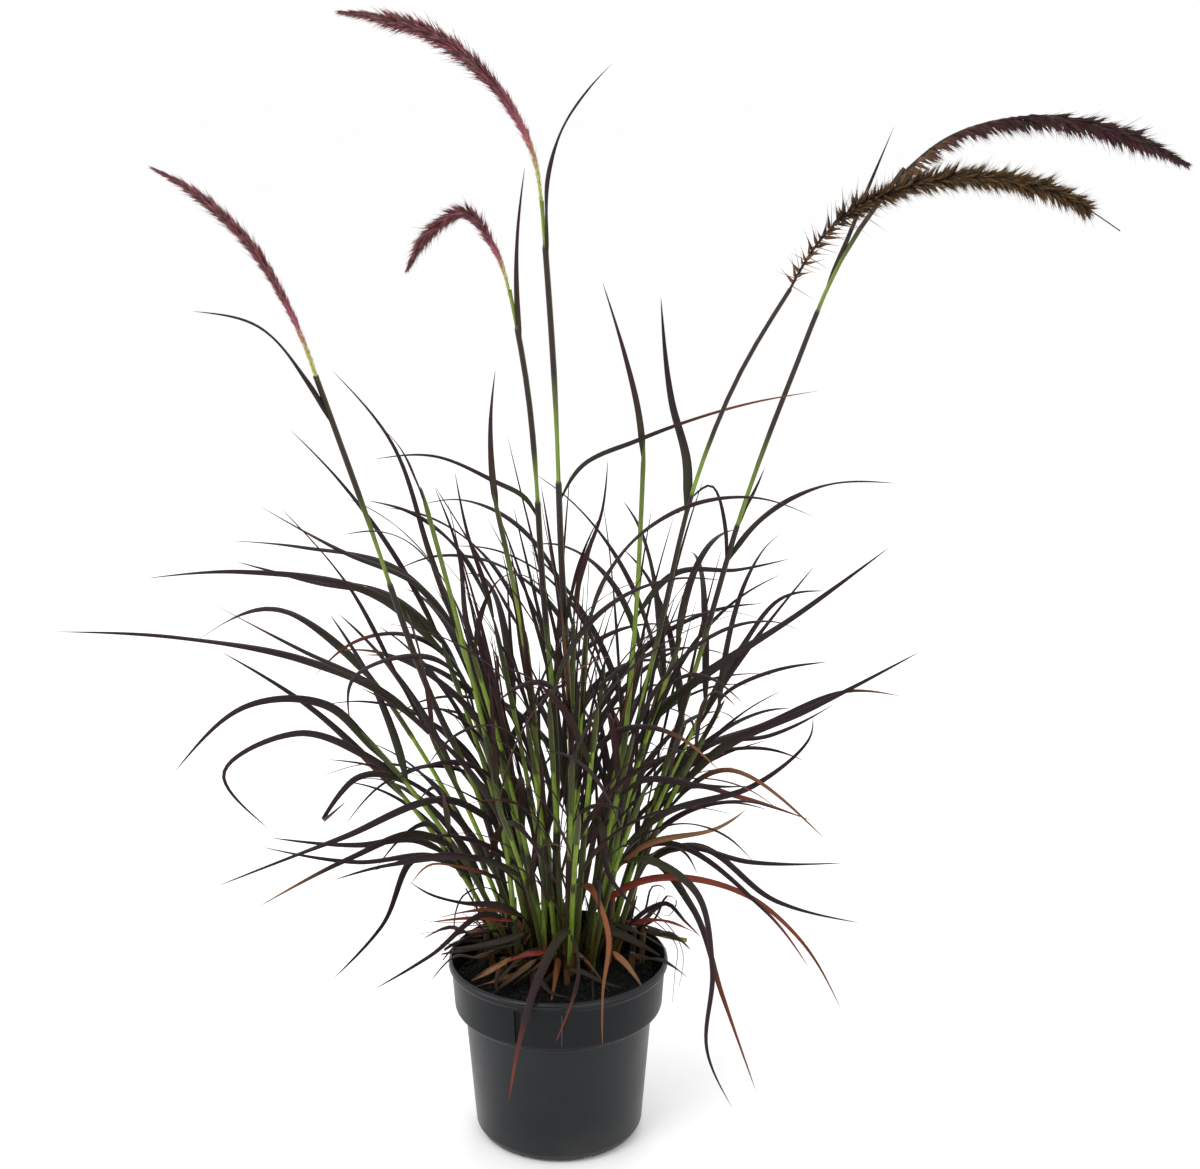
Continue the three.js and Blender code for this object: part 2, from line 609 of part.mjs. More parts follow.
// The room that is already taken, in cubes of space
class Room {
  constructor() {
    this.cubes = new Map();
    this.cube = 9;
  }

  key(x, y, z) {
    return (x + 500) + 1000 * (y + 500) + 1000000 * (z + 500);
  }

  take(marks, owner) {
    for (const mark of marks) {
      const [i, j, k] = mark.slice(0, 3).map((value) => Math.floor(value / this.cube));
      const key = this.key(i, j, k);
      if (!this.cubes.has(key)) this.cubes.set(key, []);
      this.cubes.get(key).push([...mark, owner]);
    }
  }

  isFree(marks, owner) {
    return marks.every((mark) => this.markIsFree(mark, owner));
  }

  markIsFree([x, y, z, radius], owner) {
    const [i, j, k] = [x, y, z].map((value) => Math.floor(value / this.cube));
    for (let a = i - 1; a <= i + 1; a += 1) {
      for (let b = j - 1; b <= j + 1; b += 1) {
        for (let c = k - 1; c <= k + 1; c += 1) {
          for (const other of this.cubes.get(this.key(a, b, c)) ?? []) {
            if (other[4] === owner) continue;
            const [dx, dy, dz] = [x - other[0], y - other[1], z - other[2]];
            const reach = radius + other[3];
            if (dx * dx + dy * dy + dz * dz < reach * reach) return false;
          }
        }
      }
    }
    return true;
  }
}

// Leaves keep off the soil, the lip and the outside of the pot
function clearOfPot(marks, lowest) {
  return marks.every(([x, y, z, radius]) => {
    if (z - radius < lowest) return false;
    const out = Math.hypot(x, y);
    if (out < 86) return z - radius > SOIL_TOP + 4;
    if (out < LIP_RADIUS + 1.2 + radius) return z - radius > POT_HEIGHT + 1;
    return z > 10;
  });
}

// Shoots: a stem and the blades that are fused to it
function makeShoot(name, foot, way, radius, tip, look) {
  const places = [[...foot, SOIL_TOP - HOLE_DEPTH], [...foot, SOIL_TOP + 8], ...way];
  const first = pathLength([places[0], places[1]]);
  const upper = evenPath(places.slice(1), 24);
  const chain = [places[0], ...upper];
  const length = first + pathLength(upper);
  return { name, foot, chain, length, radius, tip, look, blades: [] };
}

function makeBlade(places, width, roll, twist) {
  const fine = fineChain(places);
  const pieces = clamp(Math.round(pathLength(fine) / BLADE_STEP + bendOf(fine) / BLADE_BEND), 3, 7);
  const chain = resample(fine, Array.from({ length: pieces + 1 }, (_, i) => i / pieces));
  const run = sub(chain[chain.length - 1], chain[0]);
  const leans = Math.hypot(run[0], run[1]) > 0.25 * Math.abs(run[2]);
  const level = leans ? unit([-run[1], run[0], 0]) : [1, 0, 0];
  const start = leans ? Math.sign(run[0]) * radians(roll) : 0;
  return { chain, width, sides: sideways(chain, level, start, radians(twist)) };
}

// The nearest place on any shoot, a little lower than the root that was seen
function nearestShoot(shoots, root) {
  const wanted = add(root, [0, 0, -14]);
  let best = { far: Infinity };
  for (const shoot of shoots) {
    const highest = shoot.chain.length - (shoot.look === 'culm' ? 3 : 1);
    shoot.chain.forEach((point, i) => {
      const onCulm = shoot.look === 'culm' && root[2] < 560 ? 30 : 0;
      const far = size(sub(point, wanted)) + 9 * shoot.blades.length + onCulm;
      if (i > 1 && i <= highest && far < best.far) best = { far, shoot, i };
    });
  }
  return best;
}

function rootedPlaces(shoot, i, places) {
  const start = shoot.chain[i];
  const up = unit(sub(shoot.chain[i], shoot.chain[i - 1]));
  const out = unit(sub(places[1], start));
  const away = add(start, scale(unit(add(scale(up, 0.7), out)), 0.4 * size(sub(places[1], start))));
  return [start, away, ...places.slice(1)];
}

// Marked leaves move a little in depth, which the picture hardly shows, until they find room
function placeMarkedLeaf(room, shoots, [places, width], random) {
  const { shoot, i } = nearestShoot(shoots, places[0]);
  const roll = 35 + 35 * random();
  const twist = 50 * (random() - 0.5);
  for (let attempt = 0; attempt < 60; attempt += 1) {
    const side = attempt % 2 === 0 ? 1 : -1;
    const depth = side * 5 * Math.ceil(attempt / 2);
    const joint = clamp(i - Math.floor(attempt / 12), 3, shoot.chain.length - 1);
    const rooted = rootedPlaces(shoot, joint, places);
    const moved = rooted.map((place, k) => {
      const share = Math.max(0, k - 1) / (rooted.length - 2);
      return add(place, [0, depth * share, 0.25 * Math.abs(depth) * share]);
    });
    const blade = makeBlade(moved, width, roll, twist);
    const marks = bladeMarks(blade);
    if (clearOfPot(marks, 12) && room.isFree(marks, shoot.name)) {
      room.take(marks, shoot.name);
      shoot.blades.push(blade);
      return true;
    }
  }
  return false;
}

// Ruled leafy shoots fan out from the crown; the outer ones lean most
function placeLeafyShoot(room, number, random) {
  for (let attempt = 0; attempt < 80; attempt += 1) {
    const share = (number + 0.6 + 0.5 * random()) / (LEAFY_SHOOTS + 1);
    const out = Math.sqrt(share);
    const angle = 2.399963 * number + 0.25 * attempt + 0.3 * random();
    const away = [Math.cos(angle), Math.sin(angle)];
    const foot = [CROWN[0] + CROWN_REACH[0] * out * away[0], CROWN[1] + CROWN_REACH[1] * out * away[1]];
    const height = 340 - 170 * out + 80 * random();
    const lean = 0.06 + 0.52 * out * out + 0.12 * random();
    const way = [0.35, 0.68, 1].map((u) => {
      const run = lean * height * Math.pow(u, 1.3);
      return [foot[0] + run * away[0], foot[1] + run * away[1], SOIL_TOP + height * u * (1 - 0.12 * lean * u)];
    });
    const shoot = makeShoot(`leafy_shoot_${number + 1}`, foot, way, STEM_RADIUS - 0.2, TIP_RADIUS + 0.3, 'leaf');
    const marks = stemMarks(shoot);
    if (room.isFree(marks, shoot.name)) {
      room.take(marks, shoot.name);
      return { ...shoot, away: angle };
    }
  }
  return null;
}

// An arching leaf: it leaves the stem steeply and bends over under its own weight
function archedPlaces(start, heading, rise, fall, length, swing) {
  const places = [start];
  const steps = 5;
  for (let i = 1; i <= steps; i += 1) {
    const u = (i - 0.5) / steps;
    const pitch = radians(rise + (fall - rise) * Math.pow(u, 1.15));
    const course = heading + swing * u * u;
    const step = [Math.cos(pitch) * Math.cos(course), Math.cos(pitch) * Math.sin(course), Math.sin(pitch)];
    places.push(add(places[i - 1], scale(step, length / steps)));
  }
  return places;
}

function placeArchedLeaf(room, shoot, rank, random) {
  for (let attempt = 0; attempt < 40; attempt += 1) {
    const joint = rank === 0 ? 24 : clamp(Math.round(25 - 5 * rank - 4 * random()), 6, 24);
    const side = rank % 2 === 0 ? 1 : -1;
    const heading = shoot.away + side * (0.25 + 1.3 * random());
    const rise = rank === 0 ? 82 - 10 * random() : 76 - 20 * random();
    const fall = 25 - 75 * random();
    const length = (0.8 + 0.35 * random()) * (rank === 0 ? 240 : 205);
    const width = 5.5 + 3 * random();
    const places = archedPlaces(shoot.chain[joint], heading, rise, fall, length, 0.8 * (random() - 0.5));
    const blade = makeBlade(places, width, 60 * random(), 80 * (random() - 0.5));
    const marks = bladeMarks(blade);
    const tip = places[places.length - 1];
    const within = Math.hypot(tip[0] - CROWN[0], tip[1] - CROWN[1]) < FILL_REACH;
    if (within && clearOfPot(marks, 185) && room.isFree(marks, shoot.name)) {
      room.take(marks, shoot.name);
      shoot.blades.push(blade);
      return true;
    }
  }
  return false;
}

// Plumes: a slim rachis whose facets are drawn out into forward-pointing spikelets
function plumeSwell(u, bare) {
  const foot = bare > 0 ? 1 : clamp(0.45 + u / 0.12, 0, 1);
  return foot * Math.pow(clamp(1 - u, 0, 1), 0.35);
}

function plumeSolid(plume, start) {
  const places = [start, ...plume.line];
  const length = pathLength(evenPath(places, 24));
  const rings = Math.round(length / SPIKELET_PITCH);
  const chain = evenPath(places, rings);
  const sides = sideways(chain, [1, 0, 0]);
  const ways = tangents(chain);
  const points = [];
  const faces = [];
  const rim = (i, j) => i * PLUME_SIDES + ((j % PLUME_SIDES) + PLUME_SIDES) % PLUME_SIDES;
  const outward = (i, angle) => {
    const across = cross(ways[i], sides[i]);
    return add(scale(sides[i], Math.cos(angle)), scale(across, Math.sin(angle)));
  };
  for (let i = 0; i < rings; i += 1) {
    const radius = RACHIS_RADIUS * (1.25 - 0.85 * i / rings);
    for (let j = 0; j < PLUME_SIDES; j += 1) {
      const angle = 2 * Math.PI * (j + 0.5 * i) / PLUME_SIDES;
      points.push(add(chain[i], scale(outward(i, angle), radius)));
    }
  }
  points.push(chain[rings]);
  const tip = points.length - 1;
  for (let i = 0; i < rings - 1; i += 1) {
    for (let j = 0; j < PLUME_SIDES; j += 1) {
      const [a, b] = [rim(i, j), rim(i, j + 1)];
      const [c, d] = [rim(i + 1, j), rim(i + 1, j + 1)];
      faces.push([b, d, c]);
      if (!hasSpikelet(i / rings, i, j, plume.bare)) {
        faces.push([a, b, c]);
        continue;
      }
      const angle = 2 * Math.PI * (j + 0.5 + 0.5 * i) / PLUME_SIDES;
      const reach = plume.reach * plumeSwell(i / rings, plume.bare);
      const foot = mix(chain[i], chain[i + 1], 0.5);
      const apex = add(add(foot, scale(outward(i, angle), reach)), scale(ways[i], SPIKELET_LEAN));
      points.push(apex);
      const peak = points.length - 1;
      faces.push([a, b, peak], [b, c, peak], [c, a, peak]);
    }
  }
  fanCap(faces, 0, PLUME_SIDES, false);
  for (let j = 0; j < PLUME_SIDES; j += 1) faces.push([rim(rings - 1, j), rim(rings - 1, j + 1), tip]);
  return { solid: { points, faces }, chain };
}

function hasSpikelet(u, ring, side, bare) {
  if (ring < 1) return false;
  if (bare > 0 && u > 0.92) return false;
  return u > bare || (ring + 2 * side) % 5 === 0;
}

function makePlume(plume, culm) {
  const [before, end] = stemStations(culm).line.slice(-2);
  const way = unit(sub(end, before));
  const start = sub(end, scale(way, SOCKET_DEPTH));
  const { solid, chain } = plumeSolid(plume, start);
  const bore = TIP_RADIUS + GAP + 0.2;
  const collar = tube([start, add(end, scale(way, 5))], [bore + 1.2, bore + 0.9]);
  const socket = tube([sub(start, way), add(end, scale(way, GAP + 0.2))], [bore, bore]);
  const body = wasm.Manifold.union([toManifold(solid), toManifold(collar)]);
  return { body: wasm.Manifold.difference([body, toManifold(socket)]), chain };
}

// Old shoots: a stub with one dry leaf that falls to the soil or over the lip
function placeDeadShoot(room, shoot, number, random) {
  const top = SOIL_TOP + shoot.stub;
  const way = [[shoot.foot[0] * 1.02, shoot.foot[1] * 1.02, top]];
  const made = makeShoot(`dead_shoot_${number + 1}`, shoot.foot, way, STEM_RADIUS - 0.5, TIP_RADIUS + 0.7, 'dead');
  const last = made.chain.length - 1;
  const places = rootedPlaces(made, last - 2, [made.chain[last], ...shoot.leaf]);
  places[1] = mix(places[0], places[2], 0.4);
  made.blades.push(makeBlade(places, 6.5, 20, 60 * (random() - 0.5)));
  room.take(stemMarks(made), made.name);
  room.take(bladeMarks(made.blades[0]), made.name);
  return made;
}

// The whole plant, in the order in which room is given out
function growPlant() {
  const room = new Room();
  const random = randomSource(20260731);
  const shoots = [];
  for (const culm of CULMS) {
    shoots.push(makeShoot(`culm_${culm.name}`, culm.foot, culm.way, STEM_RADIUS, TIP_RADIUS, 'culm'));
  }
  TALL_SHOOTS.forEach((tall, i) => {
    shoots.push(makeShoot(`tall_shoot_${i + 1}`, tall.foot, tall.way, STEM_RADIUS, TIP_RADIUS + 0.2, 'leaf'));
  });
  shoots.forEach((shoot) => room.take(stemMarks(shoot), shoot.name));
  const plumes = PLUMES.map((plume, i) => ({ name: `plume_${plume.name}`, ...makePlume(plume, shoots[i]) }));
  plumes.forEach((plume, i) => {
    const marks = plume.chain.flatMap((point) => [[...point, PLUMES[i].reach * 0.7]]);
    room.take(marks.slice(3), plume.name);
  });
  const dead = DEAD_SHOOTS.map((shoot, i) => placeDeadShoot(room, shoot, i, random));
  for (let i = 0; i < LEAFY_SHOOTS; i += 1) {
    const shoot = placeLeafyShoot(room, i, random);
    if (shoot) shoots.push(shoot);
  }
  const missed = MARKED_LEAVES.filter((leaf) => !placeMarkedLeaf(room, shoots, leaf, random));
  for (const rank of [0,1,2,3]) {
    for (const shoot of shoots) {
      if (shoot.away !== undefined) placeArchedLeaf(room, shoot, rank, random);
    }
  }
  return { shoots: [...shoots, ...dead], plumes, missed };
}

const plant = growPlant();
const object = new THREE.Group();
object.name = 'potted_purple_fountain_grass';
object.add(toMesh('pot', makePot(), 'pot'));
object.add(toMesh('soil', makeSoil(plant.shoots), 'soil'));
for (const shoot of plant.shoots) {
  object.add(toMesh(shoot.name, shootBody(shoot), shoot.look));
}
for (const plume of plant.plumes) object.add(toMesh(plume.name, plume.body, 'plume'));

export default object;
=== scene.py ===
# %% [markdown]
# # A potted purple fountain grass
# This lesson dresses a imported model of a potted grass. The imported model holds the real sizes:
# a nursery pot, its soil, five flowering culms, the leafy shoots and the seed plumes, each as a
# plain solid. Here every one of them gets a finer piece that keeps its form, and its own finish.
# The frame is loaded first, because every later piece is placed by it and never moves it.

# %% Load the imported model
import math

import bmesh
import bpy
import numpy as np
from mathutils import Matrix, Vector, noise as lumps


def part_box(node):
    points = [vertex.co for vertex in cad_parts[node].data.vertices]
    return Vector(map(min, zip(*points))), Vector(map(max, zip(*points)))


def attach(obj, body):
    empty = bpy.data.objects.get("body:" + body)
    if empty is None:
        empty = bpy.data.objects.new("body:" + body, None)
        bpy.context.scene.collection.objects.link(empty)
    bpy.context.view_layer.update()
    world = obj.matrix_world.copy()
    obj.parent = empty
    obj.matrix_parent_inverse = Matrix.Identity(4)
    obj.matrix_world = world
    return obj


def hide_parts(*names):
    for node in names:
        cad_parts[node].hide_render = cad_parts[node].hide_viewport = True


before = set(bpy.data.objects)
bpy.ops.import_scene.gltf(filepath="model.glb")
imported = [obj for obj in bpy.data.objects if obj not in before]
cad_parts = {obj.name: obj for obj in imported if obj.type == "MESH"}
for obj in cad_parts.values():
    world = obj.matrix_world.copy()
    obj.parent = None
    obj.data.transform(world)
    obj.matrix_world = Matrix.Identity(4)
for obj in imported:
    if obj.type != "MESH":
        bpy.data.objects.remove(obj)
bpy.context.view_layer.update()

MM = 0.001

# %% [markdown]
# ## Camera, light and floor
# The photo was taken from a little above the rim of the pot, with a fairly long lens. A perspective
# camera with that height and tilt is enough. The picture is high-key, so the air round the plant is
# white and gives most of the light, and four wide lamps add soft highlights to the pot and stems.

# %% Camera
PHOTO_WIDTH = 1200
FOCAL_LENGTH_IN_PIXELS = 2003
CAMERA_PLACE = (0.0379, -1.669, 0.976)
CAMERA_TILT_DOWN = 15.33

lens = bpy.data.cameras.new("camera")
lens.sensor_width = 36
lens.lens = FOCAL_LENGTH_IN_PIXELS / PHOTO_WIDTH * lens.sensor_width
camera = bpy.data.objects.new("camera", lens)
camera.location = CAMERA_PLACE
camera.rotation_euler = (math.radians(90 - CAMERA_TILT_DOWN), 0, 0)
bpy.context.scene.collection.objects.link(camera)
bpy.context.scene.camera = camera
print("lens:", round(lens.lens, 1), "mm")

# %% Studio light
def soft_lamp(name, place, aim, width, watts):
    panel = bpy.data.lights.new(name, "AREA")
    panel.shape = "RECTANGLE"
    panel.size = width
    panel.size_y = width * 0.7
    panel.energy = watts
    lamp = bpy.data.objects.new(name, panel)
    lamp.location = place
    away = lamp.location - type(lamp.location)(aim)
    lamp.rotation_euler = away.to_track_quat("Z", "Y").to_euler()
    bpy.context.scene.collection.objects.link(lamp)


def pale_air(strength):
    world = bpy.data.worlds.new("pale air")
    world.use_nodes = True
    background = world.node_tree.nodes["Background"]
    background.inputs["Color"].default_value = (1.0, 1.0, 1.0, 1.0)
    background.inputs["Strength"].default_value = strength
    bpy.context.scene.world = world


pale_air(1.05)
soft_lamp("key lamp", (-1.3, -1.6, 2.3), (0.0, 0.0, 0.4), 1.2, 26)
soft_lamp("fill lamp", (1.3, -1.9, 0.9), (0.0, 0.0, 0.3), 1.0, 9)
soft_lamp("side lamp", (-1.8, -0.5, 0.7), (0.0, 0.0, 0.15), 0.8, 6)
soft_lamp("back lamp", (0.3, 1.9, 2.2), (0.0, 0.0, 0.5), 1.4, 16)
bpy.context.scene.view_settings.view_transform = "Standard"

# %% [markdown]
# ## Small tools for node trees
# Both kinds of node tree below, for shapes and for finishes, are written as nested calls.
# `place` adds a node and fills its inputs, with a number or with a link, whichever it is given.
# The short helpers after it stand for the nodes that are needed most. Colours are written as red,
# green and blue, and `blended` adds the fourth number that a colour socket wants.

# %% Helpers that write node trees
def join(tree, source, socket):
    if isinstance(source, bpy.types.NodeSocket):
        tree.links.new(source, socket)
    else:
        socket.default_value = source


def place(tree, kind, inputs=None, **settings):
    made = tree.nodes.new(kind)
    for key, value in settings.items():
        setattr(made, key, value)
    for key, value in (inputs or {}).items():
        join(tree, value, made.inputs[key])
    return made


def maths(tree, operation, *values):
    return place(tree, "ShaderNodeMath", dict(enumerate(values)), operation=operation).outputs[0]


def plus(tree, first, second):
    return maths(tree, "ADD", first, second)


def times(tree, first, second):
    return maths(tree, "MULTIPLY", first, second)


def times_plus(tree, first, second, third):
    return maths(tree, "MULTIPLY_ADD", first, second, third)


def vector_maths(tree, operation, first, second):
    sockets = {0: first, "Scale" if operation == "SCALE" else 1: second}
    return place(tree, "ShaderNodeVectorMath", sockets, operation=operation).outputs[0]


def blended(tree, share, first, second, blend_type="MIX"):
    first, second = ((*colour, 1) if isinstance(colour, tuple) else colour for colour in (first, second))
    sockets = {0: share, 6: first, 7: second}
    return place(tree, "ShaderNodeMix", sockets, data_type="RGBA", blend_type=blend_type).outputs[2]


def ramp(tree, value, low, high, to_low=0.0, to_high=1.0):
    sockets = {"Value": value, "From Min": low, "From Max": high, "To Min": to_low, "To Max": to_high}
    return place(tree, "ShaderNodeMapRange", sockets, interpolation_type="SMOOTHSTEP").outputs[0]


def noise(tree, vector, scale, detail=3.0, roughness=0.55):
    sockets = {"Vector": vector, "Scale": scale, "Detail": detail, "Roughness": roughness}
    return place(tree, "ShaderNodeTexNoise", sockets).outputs[0]


def attribute(tree, name):
    return place(tree, "ShaderNodeAttribute", attribute_name=name).outputs["Fac"]


def stretched(tree, x, y, z):
    where = place(tree, "ShaderNodeTexCoord").outputs["Object"]
    return place(tree, "ShaderNodeMapping", {"Vector": where, "Scale": (x, y, z)}).outputs[0]


def new_finish(name, **uniform):
    finish = bpy.data.materials.new(name)
    finish.use_nodes = True
    shader = finish.node_tree.nodes["Principled BSDF"]
    for key, value in uniform.items():
        shader.inputs[key.replace("_", " ")].default_value = value
    return finish, finish.node_tree, shader


def bumped(tree, height, distance, strength=1.0, under=None):
    sockets = {"Strength": strength, "Distance": distance, "Height": height}
    if under is not None:
        sockets["Normal"] = under
    return place(tree, "ShaderNodeBump", sockets).outputs[0]


# %% [markdown]
# ## Floor
# The floor only catches light and a faint shadow. It is a sheet of white paper that reaches so far
# beyond the pot that its edge melts into the white air, as in a studio with a paper roll.

# %% Floor
def paper_finish():
    finish, tree, shader = new_finish("studio paper", Roughness=0.95, Specular_IOR_Level=0.1)
    where = stretched(tree, 1, 1, 1)
    tint = blended(tree, noise(tree, where, 3.0), (0.93, 0.93, 0.93), (0.96, 0.96, 0.96))
    join(tree, tint, shader.inputs["Base Color"])
    return finish


def new_piece(name, points, faces):
    mesh = bpy.data.meshes.new(name)
    mesh.from_pydata(points, [], faces)
    piece = bpy.data.objects.new(name, mesh)
    bpy.context.scene.collection.objects.link(piece)
    return piece


def make_floor(half=30.0, floor_z=-0.0005):
    corners = [(x * half, y * half, floor_z) for x, y in ((-1, -1), (1, -1), (1, 1), (-1, 1))]
    floor = new_piece("floor", corners, [(0, 1, 2, 3)])
    floor.data.materials.append(paper_finish())


make_floor()
print("floor laid")

# %% [markdown]
# ## How the plant grows
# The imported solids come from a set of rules: smooth lines through a few places in the air, shoots
# that fan out from the crown, and leaves that look for free room. The same rules are followed here,
# with the same seed, so that each fine leaf lies where its plain solid lies. Lengths in this part
# are millimetres. First come the vectors and the smooth lines.

# %% Vectors and smooth lines
def add(a, b):
    return (a[0] + b[0], a[1] + b[1], a[2] + b[2])


def sub(a, b):
    return (a[0] - b[0], a[1] - b[1], a[2] - b[2])


def scale(a, s):
    return (a[0] * s, a[1] * s, a[2] * s)


def dot(a, b):
    return a[0] * b[0] + a[1] * b[1] + a[2] * b[2]


def cross(a, b):
    return (a[1] * b[2] - a[2] * b[1], a[2] * b[0] - a[0] * b[2], a[0] * b[1] - a[1] * b[0])


def size(a):
    return math.sqrt(dot(a, a))


def unit(a):
    return scale(a, 1 / size(a))


def mix(a, b, t):
    return add(scale(a, 1 - t), scale(b, t))


def clamp(value, low, high):
    return min(max(value, low), high)


def rounded(value):
    return math.floor(value + 0.5)


# %% Smooth line through a few places
FINE_STEPS = 12


def slopes_at(places, gaps):
    steady = [scale(sub(places[i + 1], places[i]), 1 / gap) for i, gap in enumerate(gaps)]
    last = len(places) - 1
    slopes = [steady[0]]
    for i in range(1, last):
        slopes.append(mix(steady[i - 1], steady[i], gaps[i - 1] / (gaps[i - 1] + gaps[i])))
    slopes.append(steady[last - 1])
    if last > 1:
        slopes[0] = sub(scale(steady[0], 1.5), scale(slopes[1], 0.5))
        slopes[last] = sub(scale(steady[last - 1], 1.5), scale(slopes[last - 1], 0.5))
    return slopes


def fine_chain(places):
    gaps = [size(sub(b, a)) for a, b in zip(places, places[1:])]
    slopes = slopes_at(places, gaps)
    chain = [places[0]]
    for i, gap in enumerate(gaps):
        for k in range(1, FINE_STEPS + 1):
            t = k / FINE_STEPS
            ease = t * t * (3 - 2 * t)
            leave = scale(slopes[i], gap * t * (1 - t) * (1 - t))
            arrive = scale(slopes[i + 1], gap * t * t * (t - 1))
            chain.append(add(mix(places[i], places[i + 1], ease), add(leave, arrive)))
    return chain


# %% Length, bend and even points of a line
def path_length(chain):
    return sum(size(sub(b, a)) for a, b in zip(chain, chain[1:]))


def bend_of(chain):
    steps = [unit(sub(b, a)) for a, b in zip(chain, chain[1:])]
    return sum(math.acos(clamp(dot(a, b), -1, 1)) for a, b in zip(steps, steps[1:]))


def resample(chain, fractions):
    along = [0.0]
    for a, b in zip(chain, chain[1:]):
        along.append(along[-1] + size(sub(b, a)))
    total = along[-1]
    found = []
    i = 1
    for fraction in fractions:
        while i < len(chain) - 1 and along[i] < fraction * total:
            i += 1
        t = (fraction * total - along[i - 1]) / (along[i] - along[i - 1])
        found.append(mix(chain[i - 1], chain[i], t))
    return found


def even_points(chain, count):
    return resample(chain, [i / count for i in range(count + 1)])


def even_path(places, count):
    return even_points(fine_chain(places), count)


# %% Directions carried along a line
def tangents(chain):
    last = len(chain) - 1
    return [unit(sub(chain[min(i + 1, last)], chain[max(i - 1, 0)])) for i in range(last + 1)]


def sideways(chain, first, roll=0.0, twist=0.0):
    side = first
    sides = []
    for i, way in enumerate(tangents(chain)):
        side = unit(sub(side, scale(way, dot(side, way))))
        turn = roll + twist * i / (len(chain) - 1)
        sides.append(add(scale(side, math.cos(turn)), scale(cross(way, side), math.sin(turn))))
    return sides


# %% [markdown]
# A plain number generator is written out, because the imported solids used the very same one. The
# room that is taken is kept in small cubes of space, and a new leaf is compared only with what
# stands in the cubes round it.

# %% Seeded numbers, and the room that is taken
def random_source(seed, factor=1664525, step=1013904223, span=4294967296):
    state = seed

    def draw():
        nonlocal state
        state = (state * factor + step) % span
        return state / span

    return draw


class Room:
    CUBE = 9

    def __init__(self):
        self.cubes = {}

    def cube_of(self, mark):
        return tuple(math.floor(value / self.CUBE) for value in mark[:3])

    def take(self, marks, owner):
        for mark in marks:
            self.cubes.setdefault(self.cube_of(mark), []).append((*mark, owner))

    def is_free(self, marks, owner):
        return all(self.mark_is_free(mark, owner) for mark in marks)

    def mark_is_free(self, mark, owner):
        x, y, z, radius = mark
        i, j, k = self.cube_of(mark)
        for a in (i - 1, i, i + 1):
            for b in (j - 1, j, j + 1):
                for c in (k - 1, k, k + 1):
                    for ox, oy, oz, other_radius, other in self.cubes.get((a, b, c), ()):
                        reach = radius + other_radius
                        near = (x - ox) ** 2 + (y - oy) ** 2 + (z - oz) ** 2 < reach * reach
                        if near and other != owner:
                            return False
        return True


# %% [markdown]
# These are the places where the real plant's culms, plumes, tall shoots and easily seen leaves
# pass through the air, read one by one and written as real sizes from the middle of the pot's foot.

# %% Sizes of the pot, the crown and the shoots
LIP_RADIUS = 100
POT_HEIGHT = 170
SOIL_TOP = 150
HOLE_DEPTH = 25
CROWN = (6, 34)
CROWN_REACH = (62, 40)
STEM_PIECES = 24
STEM_RADIUS = 3.1
TIP_RADIUS = 1.6
JOINT_SPACING = 140
LEAFY_SHOOTS = 34
FILL_REACH = 225
BLADE_STEP = 140
BLADE_BEND = 0.7
SOCKET_DEPTH = 10
SPIKELET_PITCH = 10

# %% Flowering culms and their plumes
CULMS = {
    "a": [(-40, 30), (-70, 22, 310), (-110, 10, 410), (-165, -10, 595), (-197, -28, 705)],
    "b": [(14, 34), (10, 26, 405), (4, 18, 545), (0, 10, 680), (-10, 0, 845)],
    "c": [(-7, 52), (-2, 50, 350), (-12, 50, 490), (-28, 55, 700), (-40, 60, 765)],
    "d": [(58, 48), (94, 46, 320), (129, 49, 445), (166, 54, 580), (204, 63, 686), (252, 73, 800),
          (299, 82, 866)],
    "e": [(44, 14), (61, 12, 334), (90, 10, 474), (123, 7, 618), (153, 4, 696), (196, 0, 773)],
}
PLUME_LINES = {
    "a": [(-213, -39, 757), (-245, -50, 818), (-289, -61, 861), (-314, -66, 876)],
    "b": [(-18, 12, 885), (-45, 28, 932), (-100, 42, 977), (-180, 60, 995)],
    "c": [(-55, 66, 804), (-76, 72, 829), (-105, 78, 816), (-130, 84, 779)],
    "d": [(337, 95, 891), (405, 108, 908), (477, 121, 898), (560, 140, 865)],
    "e": [(235, -15, 832), (276, -29, 856), (335, -44, 867), (396, -58, 857), (446, -80, 828)],
}
PLUME_REACH = {"a": 7, "b": 9.5, "c": 7, "d": 9.5, "e": 13}

# %% Tall shoots, old shoots and their dry leaves
TALL_SHOOTS = [
    [(-13, 10), (-16, 10, 330), (-32, 8, 485), (-54, 6, 600)],
    [(-36, 4), (-54, 0, 330), (-78, 0, 450), (-115, 0, 605)],
    [(33, 38), (52, 34, 290), (66, 32, 430), (76, 30, 640)],
]
DEAD_SHOOTS = [
    [(-66, 24), 34, (-78, 18, 182), (-98, 10, 192), (-124, 0, 184)],
    [(-60, 2), 22, (-72, -14, 174), (-92, -34, 184), (-112, -50, 168)],
    [(-48, -20), 26, (-52, -36, 172), (-54, -52, 167), (-52, -62, 162)],
    [(-22, -28), 18, (-16, -42, 166), (-4, -58, 160), (14, -66, 160)],
    [(8, -26), 20, (24, -34, 168), (42, -46, 164), (58, -52, 162)],
    [(66, -6), 24, (76, -20, 176), (94, -38, 182), (116, -48, 170)],
    [(76, 18), 40, (86, 10, 186), (102, -2, 191), (120, -18, 182)],
    [(68, 36), 30, (80, 46, 184), (96, 60, 192), (110, 74, 184)],
]

